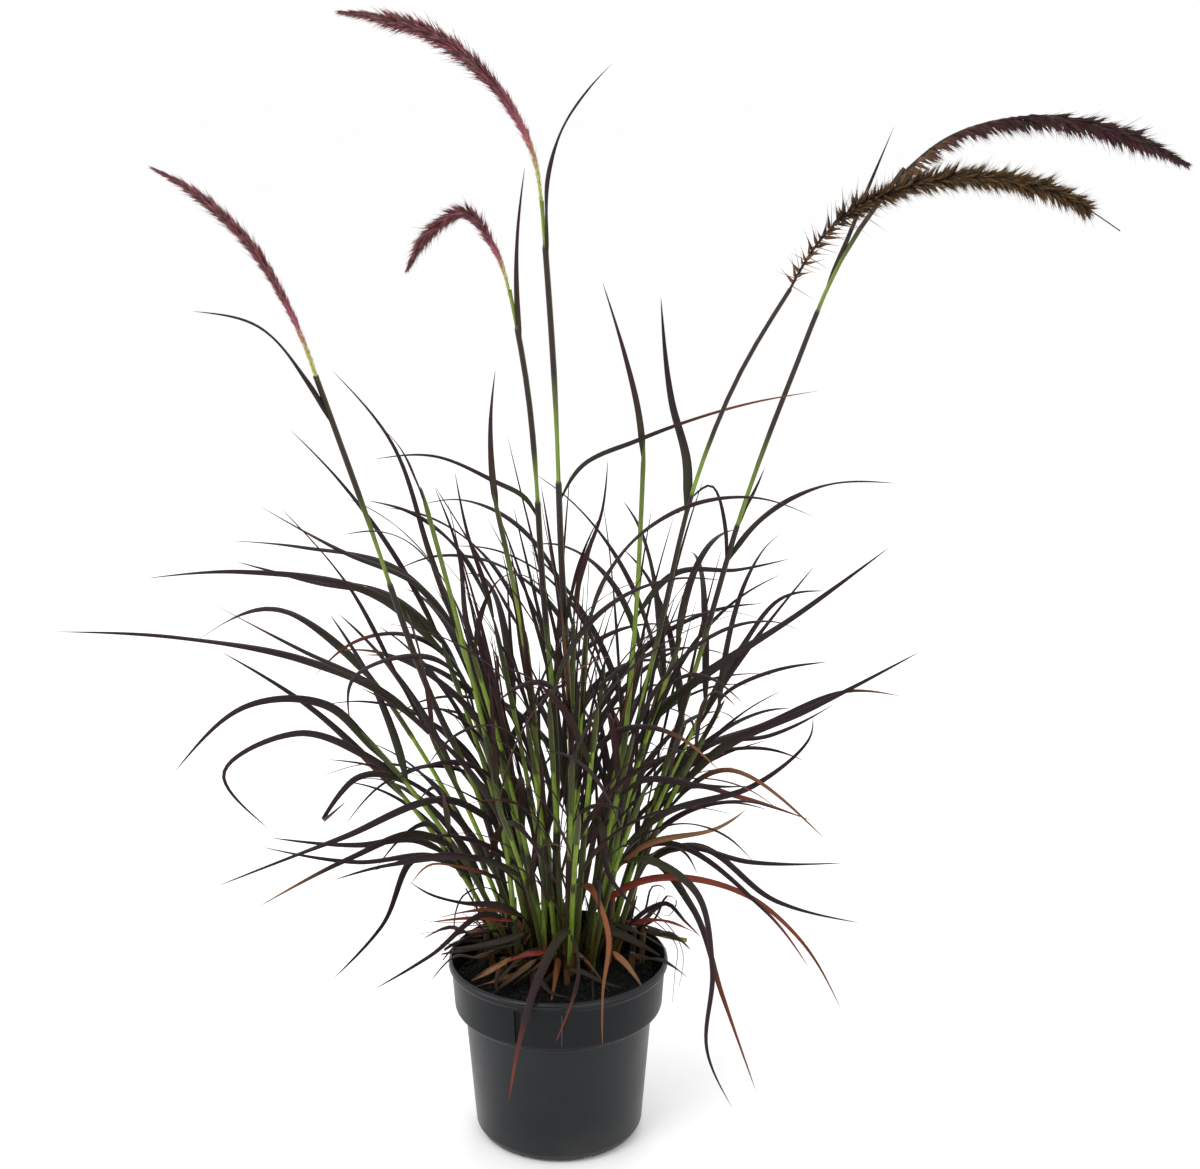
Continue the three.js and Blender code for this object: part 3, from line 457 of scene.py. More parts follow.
# %% Leaves that are easily seen: width, root, middle places and tip
MARKED_LEAVES = [
    (8, (-120, 10, 410), (-215, -5, 450), (-325, -15, 475), (-430, -30, 485)),
    (8, (-150, 40, 430), (-280, 55, 515), (-370, 70, 505)),
    (7, (-125, 60, 475), (-225, 95, 495), (-300, 130, 505)),
    (7, (-120, 40, 495), (-190, 50, 535), (-265, 60, 575)),
    (7, (-125, 0, 420), (-175, -30, 525), (-225, -60, 600)),
    (6, (-160, 60, 510), (-235, 105, 525), (-310, 150, 520)),
    (8, (-125, -10, 420), (-215, -50, 475), (-285, -90, 530)),
    (8, (-150, 60, 435), (-250, 115, 460), (-350, 170, 415)),
    (8.5, (-120, -20, 400), (-190, -55, 425), (-255, -95, 440), (-310, -130, 395)),
    (7, (-120, -20, 370), (-220, -35, 395), (-285, -55, 365), (-245, -70, 320)),
    (7.5, (-125, 20, 325), (-220, 30, 395), (-300, 40, 445)),
    (6.5, (-115, -30, 370), (-170, -65, 365), (-195, -95, 340), (-170, -130, 370)),
    (6.5, (-115, -30, 425), (-165, -95, 465), (-160, -160, 440)),
    (8, (-80, -20, 305), (-185, -65, 310), (-285, -110, 285)),
    (7, (-95, -30, 285), (-175, -85, 300), (-245, -140, 280)),
    (7, (-100, 20, 265), (-180, 20, 268), (-260, 20, 275)),
    (6.5, (-95, -10, 245), (-175, -35, 275), (-255, -60, 300)),
    (6.5, (-95, -30, 275), (-140, -75, 290), (-185, -120, 295)),
    (7, (-100, -20, 250), (-150, -80, 235), (-185, -140, 215)),
    (6, (-80, -20, 200), (-110, -65, 200), (-155, -110, 190)),
    (5.5, (-115, 50, 490), (-195, 75, 595), (-240, 100, 635)),
    (5.5, (-95, 40, 530), (-145, 50, 635), (-195, 60, 695)),
    (9, (70, 0, 395), (120, -15, 435), (210, -35, 505), (280, -50, 565)),
    (7, (120, 40, 380), (185, 50, 465), (230, 60, 520)),
    (6.5, (140, 60, 430), (205, 80, 485), (245, 100, 485)),
    (6, (160, 60, 540), (235, 70, 590), (305, 80, 590)),
    (6, (110, 60, 490), (165, 100, 505), (215, 140, 505)),
    (8.5, (120, 10, 335), (220, -15, 410), (310, -40, 470)),
    (7.5, (120, 40, 335), (185, 55, 370), (265, 65, 400), (315, 80, 390)),
    (8, (105, -20, 400), (145, -45, 435), (185, -75, 465), (225, -100, 480)),
    (7, (130, 50, 320), (195, 85, 350), (260, 120, 370)),
    (7, (105, -20, 300), (170, -45, 350), (215, -65, 400), (215, -90, 430)),
    (6.5, (90, -10, 315), (150, -45, 365), (230, -80, 315)),
    (6.5, (100, 30, 310), (165, 45, 305), (235, 60, 275)),
    (6.5, (75, -30, 275), (135, -70, 320), (160, -110, 355)),
    (7.5, (60, -30, 340), (125, -70, 360), (165, -110, 375)),
    (7, (85, -10, 255), (170, -35, 275), (250, -60, 285)),
    (7.5, (95, 10, 270), (195, -5, 225), (270, -20, 210)),
    (7, (70, 0, 215), (175, -25, 235), (215, -45, 205), (250, -70, 150)),
    (6, (100, 10, 255), (180, -50, 240), (212, -110, 218)),
    (7.5, (55, -30, 295), (120, -60, 260), (135, -90, 200), (130, -120, 135), (150, -150, 100)),
    (8, (88, 34, 240), (122, 30, 204), (150, 8, 126), (180, -30, 48)),
    (9, (10, -30, 225), (-15, -88, 190), (-30, -122, 150), (-40, -142, 100)),
    (7, (25, -30, 205), (20, -80, 196), (0, -130, 150)),
    (7, (40, -30, 245), (45, -70, 222), (40, -110, 185), (40, -135, 150)),
    (7.5, (25, -30, 345), (45, -60, 275), (75, -90, 250)),
    (6, (75, 30, 640), (60, 30, 710), (40, 30, 775)),
    (8.5, (115, 50, 590), (100, 50, 670), (90, 50, 760)),
    (6, (-55, 10, 600), (-55, 5, 655), (-50, 0, 705)),
    (6, (-115, 0, 605), (-130, -10, 640), (-150, -20, 665)),
    (4.5, (160, 60, 550), (135, 50, 595), (105, 40, 570)),
    (4.5, (165, 60, 560), (175, 70, 585), (185, 80, 605)),
    (5, (-70, 20, 480), (-85, 20, 540), (-105, 20, 600)),
    (5, (-65, 60, 490), (-80, 60, 550), (-90, 60, 605)),
    (5, (30, 80, 520), (40, 85, 565), (45, 90, 610)),
    (6, (-205, -30, 725), (-240, -60, 752), (-285, -80, 765)),
    (6, (-8, 4, 830), (-4, -17, 868), (8, -22, 905), (28, -26, 934), (48, -30, 955)),
    (4.5, (5, 20, 605), (70, 25, 640), (165, 35, 670), (225, 40, 680)),
    (5, (-38, 60, 755), (-32, 50, 815), (-25, 40, 870)),
    (4.5, (-20, 55, 580), (-55, 65, 595), (-110, 80, 615), (-165, 90, 610)),
    (5, (235, 62, 770), (268, 78, 850), (292, 105, 900)),
]
print("leaves read one by one:", len(MARKED_LEAVES))

# %% [markdown]
# A shoot is a stem line with the leaves that grow from it. A leaf keeps its fine line, its width
# and the way it is turned about its own line. The points called marks stand for a stem or a leaf
# when room is looked for.

# %% Shoots and leaves
def make_shoot(name, foot, way, radius, tip, look):
    low = (*foot, SOIL_TOP - HOLE_DEPTH)
    high = (*foot, SOIL_TOP + 8)
    upper = even_path([high, *way], STEM_PIECES)
    chain = [low, *upper]
    return {"name": name, "chain": chain, "length": path_length(chain), "radius": radius, "tip": tip,
            "look": look, "leaves": []}


def make_leaf(places, width, roll, twist):
    fine = fine_chain(places)
    pieces = clamp(rounded(path_length(fine) / BLADE_STEP + bend_of(fine) / BLADE_BEND), 3, 7)
    chain = even_points(fine, pieces)
    run = sub(chain[-1], chain[0])
    leans = math.hypot(run[0], run[1]) > 0.25 * abs(run[2])
    level = unit((-run[1], run[0], 0)) if leans else (1, 0, 0)
    start = math.copysign(math.radians(roll), run[0]) if leans and run[0] else 0.0
    turns = (level, start, math.radians(twist))
    sides = sideways(chain, *turns)
    return {"chain": chain, "fine": fine, "width": width, "turns": turns, "sides": sides}


def leaf_shape(u):
    root = 0.3 + 0.7 * min(u / 0.14, 1)
    return root * min(1, 1.25 * (1 - u) ** 0.62)


# %% Marks that stand for stems and leaves
MARK_STEP = 5
INSIDE_OF_WALL = 86
CLEARANCE = 1.1


def stem_marks(shoot):
    count = math.ceil(shoot["length"] / MARK_STEP)
    slim = (shoot["tip"] - shoot["radius"]) / count
    points = even_points(shoot["chain"], count)
    return [(*point, shoot["radius"] + slim * i + CLEARANCE) for i, point in enumerate(points)]


def leaf_marks(leaf):
    chain, sides = leaf["chain"], leaf["sides"]
    last = len(chain) - 1
    marks = []
    for i in range(last):
        steps = math.ceil(size(sub(chain[i + 1], chain[i])) / MARK_STEP)
        for k in range(steps):
            t = k / steps
            half = leaf["width"] / 2 * leaf_shape((i + t) / last)
            centre = mix(chain[i], chain[i + 1], t)
            side = mix(sides[i], sides[i + 1], t)
            reach = 1.7 + 0.25 * half
            marks.extend((*add(centre, scale(side, share * half)), reach) for share in (-0.72, 0, 0.72))
    return marks


def clear_of_pot(marks, lowest):
    for x, y, z, radius in marks:
        out = math.hypot(x, y)
        under = z - radius
        if under < lowest or z <= 10:
            return False
        if out < INSIDE_OF_WALL and under <= SOIL_TOP + 4:
            return False
        if INSIDE_OF_WALL <= out < LIP_RADIUS + 1.2 + radius and under <= POT_HEIGHT + 1:
            return False
    return True


# %% Leaves read from the real plant are rooted on the nearest shoot
ROOT_DROP = 14
FURTHER_PER_LEAF = 9
FURTHER_ON_CULM = 30
HIGH_ROOT = 560


def nearest_shoot(shoots, root):
    wanted = add(root, (0, 0, -ROOT_DROP))
    best = (math.inf, None, 0)
    for shoot in shoots:
        is_culm = shoot["look"] == "culm"
        highest = len(shoot["chain"]) - (3 if is_culm else 1)
        on_culm = FURTHER_ON_CULM if is_culm and root[2] < HIGH_ROOT else 0
        for i in range(2, min(highest + 1, len(shoot["chain"]))):
            crowding = FURTHER_PER_LEAF * len(shoot["leaves"])
            far = size(sub(shoot["chain"][i], wanted)) + crowding + on_culm
            if far < best[0]:
                best = (far, shoot, i)
    return best[1], best[2]


def rooted_places(shoot, i, places):
    start = shoot["chain"][i]
    up = unit(sub(start, shoot["chain"][i - 1]))
    out = unit(sub(places[1], start))
    reach = 0.4 * size(sub(places[1], start))
    return [start, add(start, scale(unit(add(scale(up, 0.7), out)), reach)), *places[1:]]


def moved_in_depth(rooted, depth):
    shares = [max(0, k - 1) / (len(rooted) - 2) for k in range(len(rooted))]
    return [add(spot, (0, depth * s, 0.25 * abs(depth) * s)) for spot, s in zip(rooted, shares)]


# %% A leaf that was read is moved in depth until it finds free room
MARKED_TRIES = 60
DEPTH_STEP = 5
LOWEST_MARKED = 12


def place_marked_leaf(room, shoots, row, draw):
    width, *places = row
    shoot, i = nearest_shoot(shoots, places[0])
    roll = 35 + 35 * draw()
    twist = 50 * (draw() - 0.5)
    for attempt in range(MARKED_TRIES):
        depth = (1 if attempt % 2 == 0 else -1) * DEPTH_STEP * math.ceil(attempt / 2)
        joint = clamp(i - attempt // 12, 3, len(shoot["chain"]) - 1)
        leaf = make_leaf(moved_in_depth(rooted_places(shoot, joint, places), depth), width, roll, twist)
        marks = leaf_marks(leaf)
        if clear_of_pot(marks, LOWEST_MARKED) and room.is_free(marks, shoot["name"]):
            room.take(marks, shoot["name"])
            leaf["marked_tip"] = places[-1]
            shoot["leaves"].append(leaf)
            return


# %% Ruled leafy shoots fan out from the crown
GOLDEN_ANGLE = 2.399963
SHOOT_TRIES = 80


def place_leafy_shoot(room, number, draw):
    for attempt in range(SHOOT_TRIES):
        out = math.sqrt((number + 0.6 + 0.5 * draw()) / (LEAFY_SHOOTS + 1))
        angle = GOLDEN_ANGLE * number + 0.25 * attempt + 0.3 * draw()
        away = (math.cos(angle), math.sin(angle))
        foot = (CROWN[0] + CROWN_REACH[0] * out * away[0], CROWN[1] + CROWN_REACH[1] * out * away[1])
        height = 340 - 170 * out + 80 * draw()
        lean = 0.06 + 0.52 * out * out + 0.12 * draw()
        way = []
        for u in (0.35, 0.68, 1):
            run = lean * height * u ** 1.3
            rise = SOIL_TOP + height * u * (1 - 0.12 * lean * u)
            way.append((foot[0] + run * away[0], foot[1] + run * away[1], rise))
        name = f"leafy_shoot_{number + 1}"
        shoot = make_shoot(name, foot, way, STEM_RADIUS - 0.2, TIP_RADIUS + 0.3, "leafy")
        marks = stem_marks(shoot)
        if room.is_free(marks, name):
            room.take(marks, name)
            shoot["away"] = angle
            return shoot
    return None


# %% Arching leaves leave the stem steeply and bend over under their own weight
ARCH_PIECES = 5
ARCH_TRIES = 40
LOWEST_LEAF = 185


def arched_places(start, heading, rise, fall, length, swing):
    places = [start]
    for i in range(1, ARCH_PIECES + 1):
        u = (i - 0.5) / ARCH_PIECES
        pitch = math.radians(rise + (fall - rise) * u ** 1.15)
        course = heading + swing * u * u
        step = (math.cos(pitch) * math.cos(course), math.cos(pitch) * math.sin(course), math.sin(pitch))
        places.append(add(places[-1], scale(step, length / ARCH_PIECES)))
    return places


def place_arched_leaf(room, shoot, rank, draw):
    for _ in range(ARCH_TRIES):
        lower = STEM_PIECES if rank == 0 else rounded(STEM_PIECES + 1 - 5 * rank - 4 * draw())
        joint = clamp(lower, 6, STEM_PIECES)
        heading = shoot["away"] + (1 if rank % 2 == 0 else -1) * (0.25 + 1.3 * draw())
        rise = 82 - 10 * draw() if rank == 0 else 76 - 20 * draw()
        fall = 25 - 75 * draw()
        length = (0.8 + 0.35 * draw()) * (240 if rank == 0 else 205)
        width = 5.5 + 3 * draw()
        swing = 0.8 * (draw() - 0.5)
        places = arched_places(shoot["chain"][joint], heading, rise, fall, length, swing)
        roll = 60 * draw()
        leaf = make_leaf(places, width, roll, 80 * (draw() - 0.5))
        marks = leaf_marks(leaf)
        tip = places[-1]
        within = math.hypot(tip[0] - CROWN[0], tip[1] - CROWN[1]) < FILL_REACH
        if within and clear_of_pot(marks, LOWEST_LEAF) and room.is_free(marks, shoot["name"]):
            room.take(marks, shoot["name"])
            shoot["leaves"].append(leaf)
            return


# %% Old shoots at the foot, each with one dry leaf
def place_dead_shoot(room, number, row, draw):
    foot, stub, *leaf_way = row
    way = [(foot[0] * 1.02, foot[1] * 1.02, SOIL_TOP + stub)]
    name = f"dead_shoot_{number + 1}"
    shoot = make_shoot(name, foot, way, STEM_RADIUS - 0.5, TIP_RADIUS + 0.7, "dead")
    last = len(shoot["chain"]) - 1
    places = rooted_places(shoot, last - 2, [shoot["chain"][last], *leaf_way])
    places[1] = mix(places[0], places[2], 0.4)
    shoot["leaves"].append(make_leaf(places, 6.5, 20, 60 * (draw() - 0.5)))
    room.take(stem_marks(shoot), name)
    room.take(leaf_marks(shoot["leaves"][0]), name)
    return shoot


# %% Stations of a stem, with its joints
def stem_joints(shoot):
    joints = max(1, rounded(shoot["length"] / JOINT_SPACING))
    first = (HOLE_DEPTH + 6) / shoot["length"]
    return [first + (1 - first) * i / joints for i in range(1, joints + 1)]


def plume_line(culm, name):
    joints = stem_joints(culm)
    step = 4 / culm["length"]
    below = joints[-2] + step if len(joints) > 1 else (HOLE_DEPTH + 6) / culm["length"]
    before, end = resample(culm["chain"], [below, 1.0])
    start = sub(end, scale(unit(sub(end, before)), SOCKET_DEPTH))
    return [start, *PLUME_LINES[name]]


def plume_marks(line, reach):
    rings = rounded(path_length(even_path(line, STEM_PIECES)) / SPIKELET_PITCH)
    return [(*point, reach * 0.7) for point in even_path(line, rings)][3:]


# %% The whole plant, in the order in which room is given out
PLANT_SEED = 20260731
LEAVES_PER_SHOOT = 4


def grow_plant():
    room = Room()
    draw = random_source(PLANT_SEED)
    shoots = []
    for name, (foot, *way) in CULMS.items():
        shoots.append(make_shoot(f"culm_{name}", foot, way, STEM_RADIUS, TIP_RADIUS, "culm"))
    for i, (foot, *way) in enumerate(TALL_SHOOTS):
        shoots.append(make_shoot(f"tall_shoot_{i + 1}", foot, way, STEM_RADIUS, TIP_RADIUS + 0.2, "tall"))
    for shoot in shoots:
        room.take(stem_marks(shoot), shoot["name"])
    plumes = {name: plume_line(shoot, name) for name, shoot in zip(PLUME_LINES, shoots)}
    for name, line in plumes.items():
        room.take(plume_marks(line, PLUME_REACH[name]), f"plume_{name}")
    dead = [place_dead_shoot(room, i, row, draw) for i, row in enumerate(DEAD_SHOOTS)]
    shoots += filter(None, [place_leafy_shoot(room, i, draw) for i in range(LEAFY_SHOOTS)])
    for row in MARKED_LEAVES:
        place_marked_leaf(room, shoots, row, draw)
    for rank in range(LEAVES_PER_SHOOT):
        for shoot in shoots:
            if shoot["look"] == "leafy":
                place_arched_leaf(room, shoot, rank, draw)
    return shoots + dead, plumes, room


shoots, plumes, room = grow_plant()
print("shoots:", len(shoots), "leaves:", sum(len(shoot["leaves"]) for shoot in shoots))

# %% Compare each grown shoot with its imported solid
def reach_of(shoot):
    points = [*shoot["chain"]]
    for leaf in shoot["leaves"]:
        points += leaf["chain"]
    return np.array(points) * MM


def largest_difference():
    worst = 0.0
    for shoot in shoots:
        low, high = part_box(shoot["name"])
        points = reach_of(shoot)
        worst = max(worst, np.abs(points.min(0) - low).max(), np.abs(points.max(0) - high).max())
    return worst


print("largest difference from a packed solid, mm:", round(largest_difference() / MM, 1))

# %% [markdown]
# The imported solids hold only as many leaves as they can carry. The real clump is fuller: between
# the wide leaves stand slim young ones, nearly straight. They are added here by the same rules, in
# the room that is left.

# %% Slim young leaves between the others
SLIM_LEAVES = 120
SLIM_REACH = 140
SLIM_HEIGHT = 640
SLIM_SEED = 977
SLIM_TRIES = 24


def place_slim_leaf(room, hosts, draw):
    for _ in range(SLIM_TRIES):
        shoot = hosts[int(draw() * len(hosts))]
        joint = 3 + int(17 * draw())
        start = shoot["chain"][joint]
        away = math.atan2(start[1] - CROWN[1], start[0] - CROWN[0])
        heading = away + 2.2 * (draw() - 0.5)
        rise = 84 - 34 * draw()
        fall = rise - 4 - 26 * draw() ** 1.5
        places = arched_places(start, heading, rise, fall, 130 + 150 * draw(), 0.3 * (draw() - 0.5))
        leaf = make_leaf(places, 3.2 + 2.6 * draw(), 60 * draw(), 60 * (draw() - 0.5))
        marks = leaf_marks(leaf)[6:]
        tip = places[-1]
        within = math.hypot(tip[0] - CROWN[0], tip[1] - CROWN[1]) < SLIM_REACH and tip[2] < SLIM_HEIGHT
        if within and clear_of_pot(marks, LOWEST_LEAF) and room.is_free(marks, shoot["name"]):
            room.take(marks, shoot["name"])
            return leaf
    return None


slim_draw = random_source(SLIM_SEED)
slim_hosts = [shoot for shoot in shoots if shoot["look"] in ("leafy", "tall", "culm")]
slim_leaves = [place_slim_leaf(room, slim_hosts, slim_draw) for _ in range(SLIM_LEAVES)]
slim_leaves = [leaf for leaf in slim_leaves if leaf]
print("slim young leaves:", len(slim_leaves))

# %% [markdown]
# ## Shapes grown by Geometry Nodes
# Leaves, stems and bristles all follow a line, and there are hundreds of them, so they are grown
# by node trees. Python only writes the guide lines, as loose edges with a few named values on
# their points. Each tree reads those values, and ends with real geometry and its finish.

# %% Helpers for the growing trees
def new_growth(name, inputs):
    tree = bpy.data.node_groups.new(name, "GeometryNodeTree")
    tree.interface.new_socket("Geometry", in_out="INPUT", socket_type="NodeSocketGeometry")
    for title, kind, value in inputs:
        socket = tree.interface.new_socket(title, in_out="INPUT", socket_type=f"NodeSocket{kind}")
        if value is not None:
            socket.default_value = value
    tree.interface.new_socket("Geometry", in_out="OUTPUT", socket_type="NodeSocketGeometry")
    return tree, place(tree, "NodeGroupInput").outputs


def end_growth(tree, geometry, material):
    real = place(tree, "GeometryNodeRealizeInstances", {"Geometry": geometry}).outputs[0]
    painted = place(tree, "GeometryNodeSetMaterial", {"Geometry": real, "Material": material}).outputs[0]
    join(tree, painted, place(tree, "NodeGroupOutput").inputs["Geometry"])


def named(tree, name, kind="FLOAT"):
    return place(tree, "GeometryNodeInputNamedAttribute", {"Name": name}, data_type=kind).outputs[0]


def stored(tree, geometry, name, value, kind="FLOAT"):
    sockets = {"Geometry": geometry, "Name": name, "Value": value}
    return place(tree, "GeometryNodeStoreNamedAttribute", sockets, data_type=kind).outputs[0]


def chance(tree, low, high, seed):
    made = place(tree, "FunctionNodeRandomValue", data_type="FLOAT")
    lowest, highest, numbered = made.inputs[2], made.inputs[3], made.inputs[8]
    join(tree, low, lowest)
    join(tree, high, highest)
    join(tree, seed, numbered)
    return made.outputs[1]


# %% Guide lines, and the object that a tree makes of them
def guide_lines(lines):
    points = [point for line in lines for point in line["points"]]
    edges = []
    first = 0
    for line in lines:
        count = len(line["points"])
        edges += [(i, i + 1) for i in range(first, first + count - 1)]
        first += count
    mesh = bpy.data.meshes.new("guide")
    mesh.from_pydata([scale(point, MM) for point in points], edges, [])
    for key in lines[0]:
        if key == "points":
            continue
        values = np.array([value for line in lines for value in line[key]], np.float32)
        kind, slot = ("FLOAT_VECTOR", "vector") if values.ndim > 1 else ("FLOAT", "value")
        mesh.attributes.new(key, kind, "POINT").data.foreach_set(slot, values.ravel())
    return mesh


def grown(name, guide, tree, **values):
    piece = bpy.data.objects.new(name, guide)
    bpy.context.scene.collection.objects.link(piece)
    growth = piece.modifiers.new("growth", "NODES")
    growth.node_group = tree
    for item in tree.interface.items_tree:
        key = item.name.replace(" ", "_").lower()
        if item.in_out == "INPUT" and key in values:
            growth[item.identifier] = values[key]
    depsgraph = bpy.context.evaluated_depsgraph_get()
    result = bpy.data.meshes.new_from_object(piece.evaluated_get(depsgraph), depsgraph=depsgraph)
    piece.modifiers.remove(growth)
    piece.data = result
    result.name = name
    bpy.data.meshes.remove(guide)
    return piece


def settle(piece, slot, *nodes):
    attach(piece, "root")
    if nodes:
        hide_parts(*nodes)
    triangles = sum(len(face.vertices) - 2 for face in piece.data.polygons)
    print(f"{piece.name}: {triangles} triangles")


# %% [markdown]
# ## Strap leaves
# A leaf of this grass is a long strap with a folded middle line. It could be a flat card, but a
# card has no body and no edge. Here a small closed channel is swept along the leaf's line, so both
# faces, both edges and the tip are real. The line's own side vector keeps the leaf turned as planned.

# %% A section swept along the guide lines
def unit_ring(tree, corners):
    sockets = {"Resolution": corners, "Radius": 1.0}
    return place(tree, "GeometryNodeCurvePrimitiveCircle", sockets).outputs[0]


def curve_of(tree, given):
    return place(tree, "GeometryNodeMeshToCurve", {"Mesh": given["Geometry"]}).outputs[0]


def sweep(tree, line, section, width_name, material):
    sockets = {"Curve": line, "Profile Curve": section, "Scale": named(tree, width_name), "Fill Caps": True}
    end_growth(tree, place(tree, "GeometryNodeCurveToMesh", sockets).outputs[0], material)


# %% The tree that grows strap leaves
def leaf_growth():
    inputs = [("Corners", "Int", 8), ("Thickness", "Float", 0.055), ("Fold", "Float", 0.32),
              ("Finish", "Material", None)]
    tree, given = new_growth("strap leaf", inputs)
    ring = unit_ring(tree, given["Corners"])
    spot = place(tree, "ShaderNodeSeparateXYZ", {0: place(tree, "GeometryNodeInputPosition").outputs[0]})
    body = times(tree, spot.outputs["Y"], given["Thickness"])
    off_middle = maths(tree, "SUBTRACT", maths(tree, "ABSOLUTE", spot.outputs["X"]), 0.5)
    height = maths(tree, "SUBTRACT", body, times(tree, off_middle, given["Fold"]))
    corner = place(tree, "ShaderNodeCombineXYZ", {"X": spot.outputs["X"], "Y": height})
    marked = stored(tree, ring, "across", spot.outputs["X"])
    marked = stored(tree, marked, "upper", spot.outputs["Y"])
    section = place(tree, "GeometryNodeSetPosition", {"Geometry": marked, "Position": corner.outputs[0]})
    sockets = {"Curve": curve_of(tree, given), "Normal": named(tree, "side", "FLOAT_VECTOR")}
    turned = place(tree, "GeometryNodeSetCurveNormal", sockets, mode="FREE")
    sweep(tree, turned.outputs[0], section.outputs[0], "half", given["Finish"])
    return tree


strap_leaf = leaf_growth()
print("tree:", strap_leaf.name)

# %% [markdown]
# The leaf finish is nearly black purple on the turned-up face and warmer beneath, with a green
# foot, thin red edges and fine lengthwise veins. A leaf that has turned is red, rust, straw or
# brown instead, and its tint is one value on the leaf. The veins are in the colour and the relief.

# %% A row of colours from which a value picks
RED, RUST, STRAW, BROWN = 0.0, 0.35, 0.7, 1.0


def colour_row(tree, value, *stops):
    row = place(tree, "ShaderNodeValToRGB", {"Fac": value})
    while len(row.color_ramp.elements) < len(stops):
        row.color_ramp.elements.new(0.5)
    for element, (position, colour) in zip(row.color_ramp.elements, stops):
        element.position = position
        element.color = (*colour, 1)
    return row.outputs["Color"]


# %% Leaf finish
def leaf_finish():
    finish, tree, shader = new_finish("strap leaf", Roughness=0.48, Specular_IOR_Level=0.2)
    across, along, upper = (attribute(tree, name) for name in ("across", "along", "upper"))
    tone, dry, green, tint = (attribute(tree, name) for name in ("tone", "dry", "green", "tint"))
    sockets = {"X": times(tree, across, 9.0), "Y": times(tree, along, 5.0), "Z": times(tree, tone, 40.0)}
    streak = noise(tree, place(tree, "ShaderNodeCombineXYZ", sockets).outputs[0], 1.0, 4.0, 0.6)
    patch = noise(tree, stretched(tree, 14, 14, 14), 1.0, 2.0)
    top = blended(tree, streak, (0.0052, 0.0028, 0.0036), (0.0220, 0.0098, 0.0115))
    warm = blended(tree, streak, (0.0150, 0.0055, 0.0062), (0.0430, 0.0145, 0.0155))
    live = blended(tree, ramp(tree, plus(tree, upper, patch), 0.2, 1.2), warm, top)
    leafy = blended(tree, streak, (0.0120, 0.0190, 0.0045), (0.0360, 0.0520, 0.0120))
    live = blended(tree, green, live, leafy)
    edge = ramp(tree, maths(tree, "ABSOLUTE", across), 0.72, 0.95)
    redness = times(tree, edge, times_plus(tree, tone, 0.7, 0.15))
    live = blended(tree, redness, live, (0.105, 0.014, 0.018))
    turned = colour_row(tree, tint, (RED, (0.215, 0.021, 0.015)), (RUST, (0.200, 0.062, 0.020)),
                        (STRAW, (0.270, 0.140, 0.060)), (BROWN, (0.026, 0.017, 0.010)))
    deep = blended(tree, 0.75, turned, (0.16, 0.10, 0.07), "MULTIPLY")
    shade = ramp(tree, times_plus(tree, streak, 0.6, times(tree, patch, 0.5)), 0.35, 0.7)
    withered = blended(tree, shade, deep, turned)
    colour = blended(tree, dry, live, withered)
    join(tree, colour, shader.inputs["Base Color"])
    join(tree, ramp(tree, streak, 0.2, 0.8, 0.40, 0.60), shader.inputs["Roughness"])
    vein = maths(tree, "SINE", times(tree, across, 44.0))
    relief = plus(tree, times(tree, vein, 0.5), streak)
    join(tree, bumped(tree, relief, 0.00012, 0.7), shader.inputs["Normal"])
    return finish


LEAF = leaf_finish()
print("finish:", LEAF.name)

# %% [markdown]
# Each leaf's line gets its stations, half widths and side vectors here. Real leaves are never
# perfectly even, so the turn about the line wavers a little, differently on each leaf.

# %% Guide line of one leaf
LEAF_STATION = 5.5
FEWEST_STATIONS, MOST_STATIONS = 12, 46
THINNEST_HALF = 0.06
FULL_TURN = 6.28
ROLL_WAVER = 0.22
TIP_DRIFT = 0.2
NEVER = 9.0
WHOLLY = -1.0
chooser = np.random.default_rng(11)


def fine_leaf_shape(u):
    root = 0.35 + 0.65 * min(u / 0.12, 1)
    return root * min(1, 1.2 * (1 - u) ** 0.72)


def leaf_line(leaf, green=0.0, turned_from=NEVER, tint=0.5, part=(0.0, 1.0)):
    length = path_length(leaf["fine"])
    count = clamp(rounded(length / LEAF_STATION), FEWEST_STATIONS, MOST_STATIONS)
    points = even_points(leaf["fine"], count)
    level, roll, twist = leaf["turns"]
    phase, waves = chooser.uniform(0, FULL_TURN), chooser.uniform(1.2, 2.6)
    sides = sideways(points, level, roll, twist)
    ways = tangents(points)
    shares = [i / count for i in range(count + 1)]
    turned = []
    for side, way, u in zip(sides, ways, shares):
        waver = ROLL_WAVER * math.sin(phase + FULL_TURN * waves * u) * min(1, 4 * u)
        turned.append(add(scale(side, math.cos(waver)), scale(cross(way, side), math.sin(waver))))
    spans = [part[0] + (part[1] - part[0]) * u for u in shares]
    half = [max(leaf["width"] / 2 * fine_leaf_shape(span), THINNEST_HALF) * MM for span in spans]
    foot_green = [green * clamp(1 - u / 0.4, 0, 1) for u in shares]
    dryness = [clamp((u - turned_from) / 0.25 + 0.5, 0, 1) for u in shares]
    tone = chooser.uniform(0, 1)
    tints = [min(tint + TIP_DRIFT * u, BROWN) for u in shares]
    return {"points": points, "side": turned, "half": half, "along": shares, "dry": dryness,
            "green": foot_green, "tone": [tone] * (count + 1), "tint": tints}


